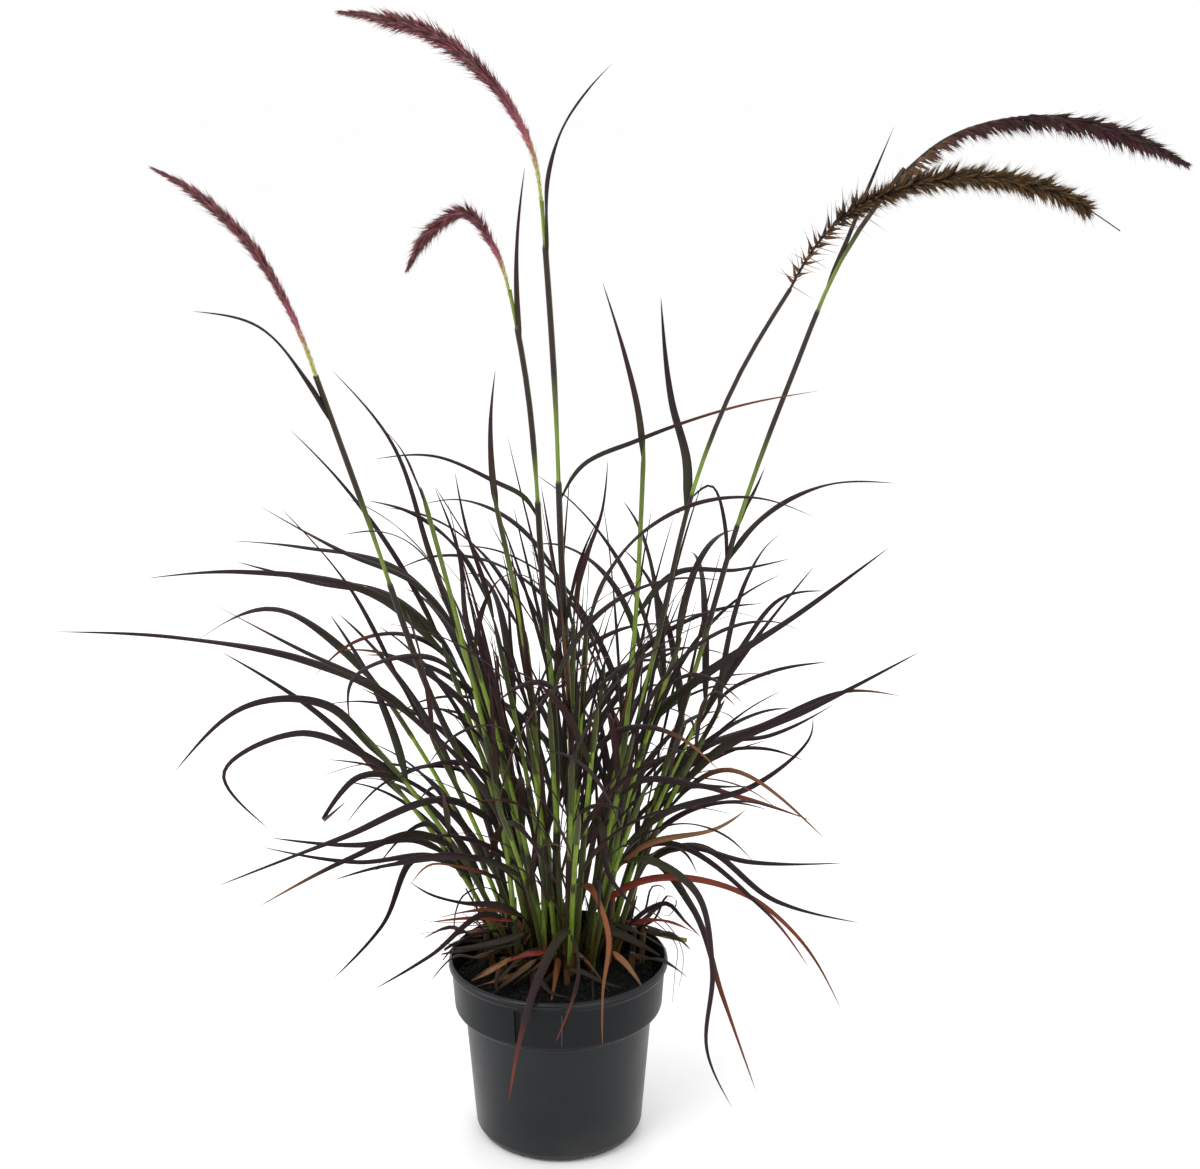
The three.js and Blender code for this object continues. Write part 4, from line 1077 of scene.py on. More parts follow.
# %% Leaves that have turned: from which share of their length, and to which tint
TURNED_SHARE = 0.12
TURNED_LEAVES = {
    (160, -110, 355): (WHOLLY, 0.5), (235, 60, 275): (0.45, 0.08), (230, -80, 315): (0.4, RUST),
    (250, -70, 150): (WHOLLY, 0.06), (180, -30, 48): (0.6, 0.06), (-40, -142, 100): (0.74, RED),
    (0, -130, 150): (0.75, RED), (40, -135, 150): (WHOLLY, 0.32), (225, 40, 680): (0.6, 0.1),
    (-245, -140, 280): (0.8, RUST), (212, -110, 218): (0.8, 0.1), (315, 80, 390): (0.85, 0.2),
}


# %% Leaves of the living shoots
def turned_look(leaf):
    if leaf.get("marked_tip") in TURNED_LEAVES:
        return TURNED_LEAVES[leaf["marked_tip"]]
    if chooser.uniform() < TURNED_SHARE:
        return chooser.uniform(0.7, 0.95), chooser.uniform(RED, RUST)
    return NEVER, RED


def living_leaf_line(leaf):
    turned_from, tint = turned_look(leaf)
    return leaf_line(leaf, green=chooser.uniform(0.2, 0.9), turned_from=turned_from, tint=tint)


def add_straps(name, lines, slot, *nodes):
    settle(grown(name, guide_lines(lines), strap_leaf, finish=LEAF), slot, *nodes)


def grow_leaves(name, members):
    lines = [living_leaf_line(leaf) for shoot in members for leaf in shoot["leaves"]]
    add_straps(name, lines, "leaf", *[shoot["name"] for shoot in members])


def of_kind(look):
    return [shoot for shoot in shoots if shoot["look"] == look]


LEAFY_GROUPS = 4
grow_leaves("culm_leaves", of_kind("culm"))
grow_leaves("tall_shoot_leaves", of_kind("tall"))
for group in range(LEAFY_GROUPS):
    grow_leaves(f"leafy_shoot_leaves_{group + 1}", of_kind("leafy")[group::LEAFY_GROUPS])
add_straps("slim_young_leaves", [living_leaf_line(leaf) for leaf in slim_leaves], "leaf")

# %% [markdown]
# ## Jointed stems
# A grass stem is a row of joints. Above each joint a sheath wraps the stem like a sleeve and ends
# in a clear ring, where its leaf bends away. Between the ring and the next joint the bare stem
# shows, bright green. A tube is swept along each stem's line, with the steps in its radius.

# %% The tree that grows stems
def stem_growth():
    tree, given = new_growth("jointed stem", [("Corners", "Int", 10), ("Finish", "Material", None)])
    spot = place(tree, "GeometryNodeInputPosition").outputs[0]
    section = stored(tree, unit_ring(tree, given["Corners"]), "around", spot, "FLOAT_VECTOR")
    sweep(tree, curve_of(tree, given), section, "radius", given["Finish"])
    return tree


jointed_stem = stem_growth()
print("tree:", jointed_stem.name)

# %% Stem finish
def stem_finish():
    finish, tree, shader = new_finish("jointed stem", Roughness=0.42, Specular_IOR_Level=0.28)
    bare, purple, ring = (attribute(tree, name) for name in ("bare", "purple", "ring"))
    tone, dry, along = (attribute(tree, name) for name in ("tone", "dry", "along"))
    around = place(tree, "ShaderNodeAttribute", attribute_name="around").outputs["Vector"]
    climb = times_plus(tree, along, 22.0, times(tree, tone, 60.0))
    shift = place(tree, "ShaderNodeCombineXYZ", {"Z": climb}).outputs[0]
    spread = vector_maths(tree, "MULTIPLY", around, (3.2, 3.2, 0))
    streak = noise(tree, vector_maths(tree, "ADD", spread, shift), 1.0, 4.0, 0.62)
    lime = blended(tree, ramp(tree, streak, 0.3, 0.7), (0.098, 0.170, 0.012), (0.280, 0.395, 0.044))
    olive = blended(tree, streak, (0.024, 0.036, 0.006), (0.075, 0.092, 0.018))
    fresh = blended(tree, times(tree, tone, 0.5), lime, olive)
    wine = blended(tree, streak, (0.0080, 0.0045, 0.0045), (0.0300, 0.0150, 0.0130))
    sheath = blended(tree, purple, olive, wine)
    lap = ramp(tree, place(tree, "ShaderNodeSeparateXYZ", {0: around}).outputs["X"], 0.55, 0.85)
    lapped = times(tree, lap, times_plus(tree, purple, -0.45, 0.75))
    sheath = blended(tree, lapped, sheath, fresh)
    colour = blended(tree, bare, sheath, fresh)
    husk = blended(tree, streak, (0.070, 0.030, 0.012), (0.250, 0.120, 0.046))
    colour = blended(tree, dry, colour, husk)
    colour = blended(tree, times(tree, ring, 0.85), colour, (0.009, 0.005, 0.0045))
    join(tree, colour, shader.inputs["Base Color"])
    join(tree, ramp(tree, streak, 0.2, 0.8, 0.34, 0.55), shader.inputs["Roughness"])
    join(tree, bumped(tree, streak, 0.00025, 0.8), shader.inputs["Normal"])
    return finish


STEM = stem_finish()
print("finish:", STEM.name)

# %% [markdown]
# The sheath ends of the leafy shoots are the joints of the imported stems. Above each sheath end the
# stem is bare and green, until the next joint. On the tall culms and shoots the green parts were read
# from the real plant: there the green fades upward into dark purple, and no joint shows above it.

# %% Where the tall stems are green, as shares of their length
GREEN_PARTS = {
    "culm_a": [(0.30, 0.42), (0.68, 0.82)],
    "culm_b": [(0.165, 0.205), (0.274, 0.50), (0.667, 0.80), (0.95, 1.04)],
    "culm_c": [(0.24, 0.30), (0.42, 0.54), (0.71, 0.78), (0.95, 1.04)],
    "culm_d": [(0.12, 0.17), (0.22, 0.30), (0.367, 0.45), (0.565, 0.68), (0.82, 0.92)],
    "culm_e": [(0.15, 0.25), (0.40, 0.52), (0.71, 0.79)],
    "tall_shoot_1": [(0.10, 0.22), (0.30, 0.62), (0.70, 0.90)],
    "tall_shoot_2": [(0.16, 0.46), (0.53, 1.04)],
    "tall_shoot_3": [(0.10, 0.22), (0.29, 0.48), (0.485, 1.04)],
}

# %% Bare parts of one stem
LOW_BARE = 0.55


def bare_parts(shoot, bare_share):
    ends = [HOLE_DEPTH / shoot["length"], *stem_joints(shoot)]
    shares = [bare_share * chooser.uniform(0.6, 1.3) for _ in ends]
    parts = [(low, low + share * max(high - low, 0.01))
             for low, high, share in zip(ends, ends[1:], shares)]
    if shares[0] < LOW_BARE:
        parts[0] = (ends[0], ends[0])
    return GREEN_PARTS.get(shoot["name"], parts)


def part_at(parts, u):
    reached = [part for part in parts if part[0] <= u]
    beyond = [low for low, _ in parts if low > u]
    return (*(reached[-1] if reached else (-1.0, -1.0)), beyond[0] if beyond else 1.0)


# %% Guide line of one stem
STEM_STATION = 3.5
RING_WIDTH = 1.6
SWELL_WIDTH = 1.8
SHEATH_STEP = 0.45
THICK_SHEATHS = {"culm_a": 0.85, "culm_b": 0.85, "culm_c": 0.85, "culm_e": 0.25}
NODE_SWELL = 0.35
POINT_LENGTH = 22
FADE_SHARE = 0.6
STREAK_LENGTH = 300
DRY_HEIGHT = 24


def bump_at(distance, width):
    return math.exp(-(distance / width) ** 2)


def bareness(u, low, node, fades):
    if fades and node > u:
        return clamp((node - u) / (FADE_SHARE * (node - low)), 0, 1)
    return float(u < node)


def stem_line(shoot, bare_share, purple_low, purple_high, dry_foot=0.0):
    length = shoot["length"]
    count = rounded(length / STEM_STATION)
    shares = [i / count for i in range(count + 1)]
    values = {key: [] for key in ("radius", "bare", "purple", "ring", "dry")}
    parts = bare_parts(shoot, bare_share)
    fades = shoot["name"] in GREEN_PARTS
    rings = [start for start, _ in parts] + ([] if fades else [1.0])
    ends_blunt = shoot["look"] in ("culm", "dead")
    for u in shares:
        low, node, high = part_at(parts, u)
        bare = bareness(u, low, node, fades)
        slim = shoot["radius"] + (shoot["tip"] - shoot["radius"]) * math.sqrt(clamp(u, 0, 1))
        climb = 1.0 if fades else clamp((u - node) / max(high - node, 0.01), 0, 1)
        near_end = min(abs(u - ring) for ring in rings) * length
        near_node = math.inf if fades or node == low else abs(u - node) * length
        step = THICK_SHEATHS.get(shoot["name"], SHEATH_STEP)
        swell = step * (1 - bare) + NODE_SWELL * bump_at(near_node, SWELL_WIDTH)
        sharp = 1.0 if ends_blunt else max(math.sqrt(clamp((1 - u) * length / POINT_LENGTH, 0, 1)), 0.12)
        values["radius"].append((slim + swell) * sharp * MM)
        values["bare"].append(bare)
        height = purple_low + (purple_high - purple_low) * climb
        values["purple"].append(clamp(height + chooser.uniform(-0.05, 0.05), 0, 1))
        values["ring"].append(max(bump_at(near_end, RING_WIDTH), 0.8 * bump_at(near_node, RING_WIDTH)))
        above_soil = u * length - HOLE_DEPTH
        values["dry"].append(dry_foot * clamp(1.3 - above_soil / DRY_HEIGHT, 0, 1))
    values["tone"] = [chooser.uniform(0, 1)] * (count + 1)
    values["along"] = [u * length / STREAK_LENGTH for u in shares]
    return {"points": even_points(shoot["chain"], count), **values}


# %% Stems of the living shoots
def add_stems(name, lines, slot, *nodes, corners=10):
    settle(grown(name, guide_lines(lines), jointed_stem, finish=STEM, corners=corners), slot, *nodes)


def grow_stems(name, members, looks):
    lines = [stem_line(shoot, *looks(shoot)) for shoot in members]
    add_stems(name, lines, "culm", *[shoot["name"] for shoot in members])


def leafy_looks(shoot):
    return chooser.uniform(0.35, 0.85), 0.1, chooser.uniform(0.5, 1.0), chooser.uniform(0.0, 0.7)


STEM_GROUPS = 2
grow_stems("culm_stems", of_kind("culm"), lambda shoot: (0.5, 0.75, 1.0, 0.2))
grow_stems("tall_shoot_stems", of_kind("tall"), lambda shoot: (0.8, 0.2, 0.6, 0.2))
for group in range(STEM_GROUPS):
    grow_stems(f"leafy_shoot_stems_{group + 1}", of_kind("leafy")[group::STEM_GROUPS], leafy_looks)

# %% [markdown]
# ## Old shoots
# At the foot stand a few cut or dead stubs. Each has one dry leaf that has fallen on the soil or
# over the lip of the pot. They use the same two trees: the stubs are a little dry, and their leaves
# have turned brown from end to end.

# %% Dead stubs and their leaves
STUB_DRYNESS = 0.3


def grow_dead_shoots():
    members = of_kind("dead")
    names = [shoot["name"] for shoot in members]
    stubs = [stem_line(shoot, 0.2, 0.9, 1.0) for shoot in members]
    for stub in stubs:
        stub["dry"] = [STUB_DRYNESS] * len(stub["dry"])
    add_stems("dead_stubs", stubs, "dry_leaf", *names)
    leaves = [leaf_line(shoot["leaves"][0], turned_from=WHOLLY, tint=chooser.uniform(0.85, BROWN))
              for shoot in members]
    add_straps("dead_leaves", leaves, "dry_leaf", *names)


grow_dead_shoots()

# %% [markdown]
# ## Litter
# Old leaves have broken off and lie between the crown and the rim, some with their ends over the
# lip. Dry husks still wrap the feet of the stems, and a few threads hang and curl. One green stem
# was cut and lies over the lip, and some leaves have curled up or start low. These are only more
# lines for the leaf tree and the stem tree. A piece that would pass through the wall of the pot is
# cut short, or lifted over the lip.

# %% Broken leaves on the soil and over the lip
LITTER = 36
LITTER_MIDDLE = 195
LITTER_SPREAD = 70
INSIDE_POT = 81
OVER_LIP = 95
LITTER_TINTS = [RED, 0.3, RUST, 0.8, 0.88, 0.93, BROWN, BROWN, BROWN, BROWN]
LAID_LEAVES = [
    (8.5, 1.00, (-37, -20, 190), (-70, -14, 184), (-94, -10, 177), (-106, -7, 173)),
    (7.5, 0.97, (-30, -16, 198), (-62, -22, 190), (-96, -14, 182)),
    (7.5, 0.52, (-42, -28, 180), (-60, -34, 170), (-77, -34, 160)),
    (6.5, 0.45, (-36, -34, 168), (-56, -42, 164), (-74, -42, 158)),
    (6.5, 0.02, (-12, -26, 184), (-28, -30, 184), (-46, -34, 178)),
    (6.0, 0.85, (-20, -28, 178), (-42, -48, 168), (-60, -60, 158)),
    (5.5, 0.95, (-26, -26, 186), (-44, -40, 174), (-56, -54, 162)),
    (5.5, 0.40, (-70, 26, 176), (-84, 14, 180), (-98, 4, 178), (-110, -4, 182)),
    (6.5, 0.50, (50, -16, 180), (66, -34, 170), (76, -44, 158)),
    (7.0, 0.04, (66, 10, 196), (96, -6, 206), (124, -20, 200)),
    (5.0, 0.75, (80, 30, 184), (100, 20, 180), (116, 8, 176)),
    (7.0, 1.00, (50, 14, 194), (76, 4, 188), (100, -8, 177)),
    (6.0, 0.92, (56, 24, 192), (80, 18, 190), (104, 10, 180)),
    (9.5, 1.00, (40, 4, 196), (66, -4, 186), (92, -16, 176)),
    (6.0, 0.95, (82, 14, 190), (99, 10, 184), (116, 5, 178)),
    (5.5, 0.22, (-30, 0, 206), (-54, -5, 216), (-79, -10, 217), (-105, -15, 213)),
    (4.5, 0.02, (-40, -8, 206), (-65, -12, 211), (-111, -20, 211)),
]


def share_at_radius(start, end, radius):
    for k in range(101):
        spot = mix(start, end, k / 100)
        if math.hypot(spot[0], spot[1]) >= radius:
            return k / 100
    return None


def litter_places():
    angle = math.radians(chooser.normal(LITTER_MIDDLE, LITTER_SPREAD))
    away = (math.cos(angle), math.sin(angle))
    reach = chooser.uniform(0.55, 0.95)
    foot = [middle + reach * r * a for middle, r, a in zip(CROWN, CROWN_REACH, away)]
    start = (*foot, SOIL_TOP + chooser.uniform(7, 30))
    course = angle + chooser.uniform(-0.9, 0.9)
    length = chooser.uniform(30, 80)
    end = (start[0] + length * math.cos(course), start[1] + length * math.sin(course), SOIL_TOP + 6)
    lip = share_at_radius(start, end, OVER_LIP)
    if lip is None:
        end = mix(start, end, share_at_radius(start, end, INSIDE_POT) or 1.0)
        end = (end[0], end[1], SOIL_TOP + chooser.uniform(5, 8))
        return [start, add(mix(start, end, 0.5), (0, 0, chooser.uniform(0, 5))), end]
    over = mix(start, end, lip)
    beyond = add(over, scale(unit(sub(end, start)), chooser.uniform(3, 13)))
    return [start, (over[0], over[1], POT_HEIGHT + chooser.uniform(5, 11)),
            (beyond[0], beyond[1], POT_HEIGHT + chooser.uniform(-1, 9))]


def laid_line(places, width, tint, part):
    leaf = make_leaf(places, width, chooser.uniform(0, 35), chooser.uniform(-70, 70))
    return leaf_line(leaf, turned_from=WHOLLY, tint=tint, part=part)


litter = [laid_line(places, width, tint, (0.0, 0.95)) for width, tint, *places in LAID_LEAVES]
for _ in range(LITTER):
    tint = LITTER_TINTS[int(chooser.uniform(0, len(LITTER_TINTS)))]
    part = (chooser.uniform(0.0, 0.3), chooser.uniform(0.75, 1.0))
    litter.append(laid_line(litter_places(), chooser.uniform(3.5, 7.5), tint, part))
add_straps("leaf_litter", litter, "dry_leaf")

# %% Dry husks round the feet of the stems
HUSKS_EACH = 3


def husk_line(shoot):
    angle = chooser.uniform(0, 2 * math.pi)
    out = (math.cos(angle), math.sin(angle), 0)
    climb = unit(sub(shoot["chain"][4], shoot["chain"][1]))
    foot = (*shoot["chain"][1][:2], SOIL_TOP - 1)
    height = chooser.uniform(22, 75)
    spread = chooser.uniform(1, 15)
    cling = shoot["radius"] + 0.9
    spine = [foot, add(foot, scale(climb, height * 0.55)), add(foot, scale(climb, height))]
    offs = (cling, cling + 0.6, cling + spread)
    places = [add(spot, scale(out, off)) for spot, off in zip(spine, offs)]
    leaf = {"fine": fine_chain(places), "width": chooser.uniform(4.0, 6.0),
            "turns": (cross(climb, out), 0.0, chooser.uniform(-0.8, 0.8))}
    tint = LITTER_TINTS[int(chooser.uniform(1, len(LITTER_TINTS)))]
    return leaf_line(leaf, turned_from=WHOLLY, tint=tint, part=(0.1, chooser.uniform(0.8, 1.0)))


standing = [shoot for shoot in shoots if shoot["look"] != "dead"]
husks = [husk_line(shoot) for shoot in standing for _ in range(HUSKS_EACH)]
add_straps("dry_husks", husks, "dry_leaf")

# %% Places of the threads, the cut stem, the curled and the low leaves
THREADS = [
    [(84, 20, 196), (100, 18, 182), (108, 12, 172), (106, -2, 150), (104, -10, 127)],
    [(86, 24, 200), (104, 16, 186), (113, 8, 170), (110, -4, 140)],
    [(-66, 6, 250), (-75, 0, 240), (-76, -4, 222), (-73, 0, 204)],
    [(-50, -2, 200), (-74, -10, 206), (-104, -4, 203), (-122, 4, 201)],
    [(-46, 2, 196), (-76, -4, 200), (-110, -8, 196), (-128, -6, 192)],
]
CUT_STEM = [(82, 33, 177), (98, 30, 173.5), (118, 26, 171)]
CURLED_LEAVES = [
    (2.8, (70, 16, 190), (86, 6, 200), (99, 12, 222), (108, 22, 212), (100, 28, 194), (90, 22, 204),
     (95, 14, 228)),
    (2.6, (64, 6, 196), (78, -4, 214), (86, 2, 236), (96, 8, 232), (92, 10, 214)),
    (5.5, (-46, 14, 214), (-67, 10, 231), (-86, 6, 225), (-93, 2, 210), (-93, -3, 194), (-86, -8, 188)),
]
LOW_LEAVES = [
    (7.0, NEVER, RED, (-30, 0, 205), (-47, -10, 221), (-87, -20, 230), (-114, -30, 243), (-132, -40, 261)),
    (5.0, 0.30, 0.25, (-45, 0, 240), (-64, -5, 251), (-91, -15, 263), (-113, -25, 268), (-131, -40, 252)),
    (8.0, NEVER, RED, (-30, 5, 248), (-54, 0, 271), (-98, -15, 292), (-129, -30, 296)),
    (6.0, 0.80, RED, (62, 15, 188), (84, 16, 208), (98, 15, 213), (115, 5, 200), (130, 0, 186)),
]
print("threads:", len(THREADS), "curled leaves:", len(CURLED_LEAVES), "low leaves:", len(LOW_LEAVES))

# %% Threads and the cut stem
THREAD_STATIONS = 30
CUT_STEM_RADIUS = 2.1


def thread_line(places):
    points = even_path(places, THREAD_STATIONS)
    shares = [i / THREAD_STATIONS for i in range(THREAD_STATIONS + 1)]
    radii = [(0.62 - 0.42 * u) * MM for u in shares]
    steady = {"tone": chooser.uniform(0, 1), "bare": 0.0, "purple": 1.0, "ring": 0.0,
              "dry": chooser.uniform(0.2, 0.8)}
    rows = {key: [value] * len(points) for key, value in steady.items()}
    return {"points": points, "radius": radii, "along": shares, **rows}


add_stems("dry_threads", [thread_line(places) for places in THREADS], "dry_leaf", corners=5)
cut_stem = thread_line(CUT_STEM)
for key, value in {"radius": CUT_STEM_RADIUS * MM, "bare": 1.0, "dry": 0.3, "tone": 0.0}.items():
    cut_stem[key] = [value] * len(cut_stem["points"])
add_stems("cut_stem", [cut_stem], "dry_leaf")

# %% Curled leaves and low leaves
curled_leaves = [leaf_line(make_leaf(places, width, 20, 90), turned_from=0.9)
                 for width, *places in CURLED_LEAVES]
add_straps("curled_leaves", curled_leaves, "dry_leaf")
low_leaves = [leaf_line(make_leaf(places, width, 45, 30), green=0.5, turned_from=turned_from, tint=tint)
              for width, turned_from, tint, *places in LOW_LEAVES]
add_straps("low_leaves", low_leaves, "leaf")

# %% [markdown]
# ## Seed plumes
# A plume is a slim axis crowded with pointed tufts. Each tuft is one seed in a narrow fan of stiff
# bristles, and finer bristles stand out between them. Hundreds of tufts repeat along one line, each
# turned a golden angle further than the last, so a tree sets them out as copies and then makes
# them real. The tuft, the lighter single tuft and the bristle are three small shapes, of a few
# dozen faces at most.

# %% Small shapes that the plumes repeat
def add_spike(shape, tip, corners, rings):
    side = unit(cross(tip, (0.31, 0.95, 0.0)))
    other = cross(unit(tip), side)
    first = len(shape["points"])
    for radius, share in rings:
        for j in range(corners):
            angle = 2 * math.pi * j / corners
            off = add(scale(side, radius * math.cos(angle)), scale(other, radius * math.sin(angle)))
            shape["points"].append(add(scale(tip, share), off))
            shape["reach"].append(share)
    shape["points"].append(tip)
    shape["reach"].append(1.0)
    last = first + (len(rings) - 1) * corners
    for low in range(first, last, corners):
        ring = [(low + j, low + (j + 1) % corners) for j in range(corners)]
        shape["faces"] += [(a, b, b + corners, a + corners) for a, b in ring]
    shape["faces"] += [(last + j, last + (j + 1) % corners, last + corners) for j in range(corners)]
    shape["faces"].append(tuple(range(first + corners - 1, first - 1, -1)))


def small_shape(name, spikes):
    shape = {"points": [], "faces": [], "reach": []}
    for spike in spikes:
        add_spike(shape, *spike)
    piece = new_piece(name, shape["points"], shape["faces"])
    reach = piece.data.attributes.new("reach", "FLOAT", "POINT")
    reach.data.foreach_set("value", np.array(shape["reach"], np.float32))
    piece.data.shade_smooth()
    return piece


def fanned_bristles(count, spread):
    fans = [spread * (k + 1) / count for k in range(count)]
    return [((fan * math.cos(GOLDEN_ANGLE * k), fan * math.sin(GOLDEN_ANGLE * k), 1.0 - 0.04 * k),
             3, [(0.024, 0.06)]) for k, fan in enumerate(fans)]


SEED_SPIKE = ((0, 0, 0.78), 5, [(0.03, 0.0), (0.100, 0.24), (0.070, 0.54)])
SINGLE_SPIKE = ((0, 0, 0.62), 5, [(0.02, 0.0), (0.070, 0.20), (0.055, 0.42)])
tuft_shape = small_shape("tuft shape", [SEED_SPIKE, *fanned_bristles(5, 0.15)])
single_shape = small_shape("single tuft shape", [SINGLE_SPIKE, *fanned_bristles(1, 0.05)])
bristle_shape = small_shape("bristle shape", [((0, 0, 1.0), 3, [(0.019, 0.0)])])
print("tuft faces:", len(tuft_shape.data.polygons), "bristle faces:", len(bristle_shape.data.polygons))

# %% Turns, and the way that a copy hangs
def turned_about(tree, axis, angle):
    return place(tree, "FunctionNodeAxisAngleToRotation", {"Axis": axis, "Angle": angle}).outputs[0]


def then_turned(tree, first, second):
    sockets = {0: first, 1: second}
    return place(tree, "FunctionNodeRotateRotation", sockets, rotation_space="LOCAL").outputs[0]


def hanging(tree, rotation, weight):
    way = place(tree, "FunctionNodeRotateVector", {"Vector": (0, 0, 1), "Rotation": rotation}).outputs[0]
    hung = vector_maths(tree, "ADD", way, vector_maths(tree, "SCALE", (0, 0, -1), weight))
    sockets = {"Rotation": rotation, "Vector": hung}
    return place(tree, "FunctionNodeAlignRotationToVector", sockets, axis="Z").outputs[0]


# %% The tree that sets tufts and bristles along a plume
def plume_growth():
    inputs = [("Count", "Int", 300), ("Part", "Object", None), ("Length", "Float", 0.012),
              ("Lean Low", "Float", 0.7), ("Lean High", "Float", 1.2), ("Droop", "Float", 0.1),
              ("Seed", "Int", 1), ("Finish", "Material", None)]
    tree, given = new_growth("bristly plume", inputs)
    sockets = {"Curve": curve_of(tree, given), "Count": given["Count"]}
    spots = place(tree, "GeometryNodeCurveToPoints", sockets, mode="COUNT").outputs
    tinted = stored(tree, spots["Points"], "tone", chance(tree, 0.0, 1.0, given["Seed"]))
    index = place(tree, "GeometryNodeInputIndex").outputs[0]
    spin = times_plus(tree, index, GOLDEN_ANGLE, chance(tree, -0.5, 0.5, 2))
    lean = times(tree, chance(tree, given["Lean Low"], given["Lean High"], 3), named(tree, "open"))
    spun = then_turned(tree, spots["Rotation"], turned_about(tree, (0, 0, 1), spin))
    leaning = then_turned(tree, spun, turned_about(tree, (1, 0, 0), lean))
    settled = hanging(tree, leaning, times(tree, given["Droop"], named(tree, "hang")))
    any_length = times(tree, given["Length"], chance(tree, 0.72, 1.15, 5))
    length = times(tree, any_length, named(tree, "swell"))
    sockets = {0: chance(tree, 0.0, 1.0, 7), 1: named(tree, "crowd")}
    kept = place(tree, "FunctionNodeCompare", sockets, operation="LESS_THAN").outputs[0]
    part = place(tree, "GeometryNodeObjectInfo", {"Object": given["Part"], "As Instance": True}).outputs
    sockets = {"Points": tinted, "Selection": kept, "Instance": part["Geometry"],
               "Rotation": settled, "Scale": length}
    copies = place(tree, "GeometryNodeInstanceOnPoints", sockets).outputs[0]
    end_growth(tree, copies, given["Finish"])
    return tree


bristly_plume = plume_growth()
print("tree:", bristly_plume.name)

# %% Plume finishes
# Colour of the painted grey-green glint on some tufts.
PAINTED_GLINT_GREEN = (0.040, 0.034, 0.022)


def plume_finish(name, dark, light, foot, neck, tip_tint, tip_share):
    finish, tree, shader = new_finish(name, Roughness=0.65, Specular_IOR_Level=0.15)
    tone, along, reach = (attribute(tree, key) for key in ("tone", "along", "reach"))
    mottle = noise(tree, stretched(tree, 160, 160, 160), 1.0, 3.0)
    lightness = times_plus(tree, maths(tree, "POWER", tone, 1.6), 0.8, times(tree, mottle, 0.3))
    body = blended(tree, lightness, dark, light)
    # Painted glint: tufts picked by a second tone get a grey-green glint mixed into their colour.
    second_tone = maths(tree, "FRACT", times(tree, tone, 7.3))
    painted_glint = times(tree, ramp(tree, second_tone, 0.5, 0.75), 0.8)
    body = blended(tree, painted_glint, body, PAINTED_GLINT_GREEN)
    # Painted shade: each tuft goes to the plume's darkest colour near its root by the axis, where the tufts
    # crowd.
    body = blended(tree, ramp(tree, reach, 0.0, 0.5), dark, body)
    height = times_plus(tree, tone, 0.12, along)
    low_part = blended(tree, ramp(tree, height, 0.14, 0.30), foot, neck)
    colour = blended(tree, ramp(tree, height, 0.22, 0.48), low_part, body)
    # Lighter tips: partly the bristles' own paler colour, partly a painted glow of light shining through
    # them.
    tip_and_glow_share = times(tree, ramp(tree, reach, 0.55, 1.0), tip_share)
    join(tree, blended(tree, tip_and_glow_share, colour, tip_tint), shader.inputs["Base Color"])
    join(tree, ramp(tree, mottle, 0.3, 0.7, 0.55, 0.8), shader.inputs["Roughness"])
    join(tree, bumped(tree, mottle, 0.0003, 0.6), shader.inputs["Normal"])
    return finish


PALE_GREEN = (0.46, 0.50, 0.15)
PINK = (0.36, 0.10, 0.14)
WINE_TUFTS = plume_finish("wine tufts", (0.010, 0.005, 0.005), (0.185, 0.050, 0.060), PALE_GREEN, PINK,
                          (0.50, 0.19, 0.22), 0.6)
WINE_BRISTLES = plume_finish("wine bristles", (0.060, 0.018, 0.024), (0.30, 0.085, 0.120), PALE_GREEN, PINK,
                             (0.60, 0.32, 0.34), 0.65)
DARK_TUFTS = plume_finish("dark wine tufts", (0.008, 0.004, 0.004), (0.080, 0.030, 0.031),
                          (0.12, 0.065, 0.040), (0.060, 0.024, 0.024), (0.14, 0.045, 0.062), 0.4)
DARK_BRISTLES = plume_finish("dark wine bristles", (0.026, 0.009, 0.014), (0.150, 0.040, 0.072),
                             (0.16, 0.085, 0.050), (0.090, 0.030, 0.034), (0.32, 0.09, 0.18), 0.6)
TAN_TUFTS = plume_finish("tan tufts", (0.007, 0.004, 0.003), (0.090, 0.044, 0.018),
                         (0.110, 0.050, 0.025), (0.032, 0.017, 0.011), (0.32, 0.18, 0.070), 0.38)
TAN_BRISTLES = plume_finish("tan bristles", (0.060, 0.030, 0.014), (0.26, 0.145, 0.055),
                            (0.40, 0.22, 0.10), (0.24, 0.13, 0.06), (0.58, 0.40, 0.18), 0.6)
print("plume finishes:", [look.name for look in bpy.data.materials if "tufts" in look.name])

# %% [markdown]
# Every plume has its own habit. `tuft` is the length of its tufts in millimetres, and `bristle` how
# many times as long its bristles are. `slim` is how small its lowest tufts are, `lean` how far the
# tufts stand off the axis at the foot and higher up, `span` where along the axis the crowded tufts
# begin and end, and `droop` how far they hang down. SPARSE and DENSE count the tufts and bristles
# on each millimetre. Plume d has fewer tufts in its lower half, and there they hang. Plume e is
# open below: there only single tufts stand off the axis, each with its long pale awns.

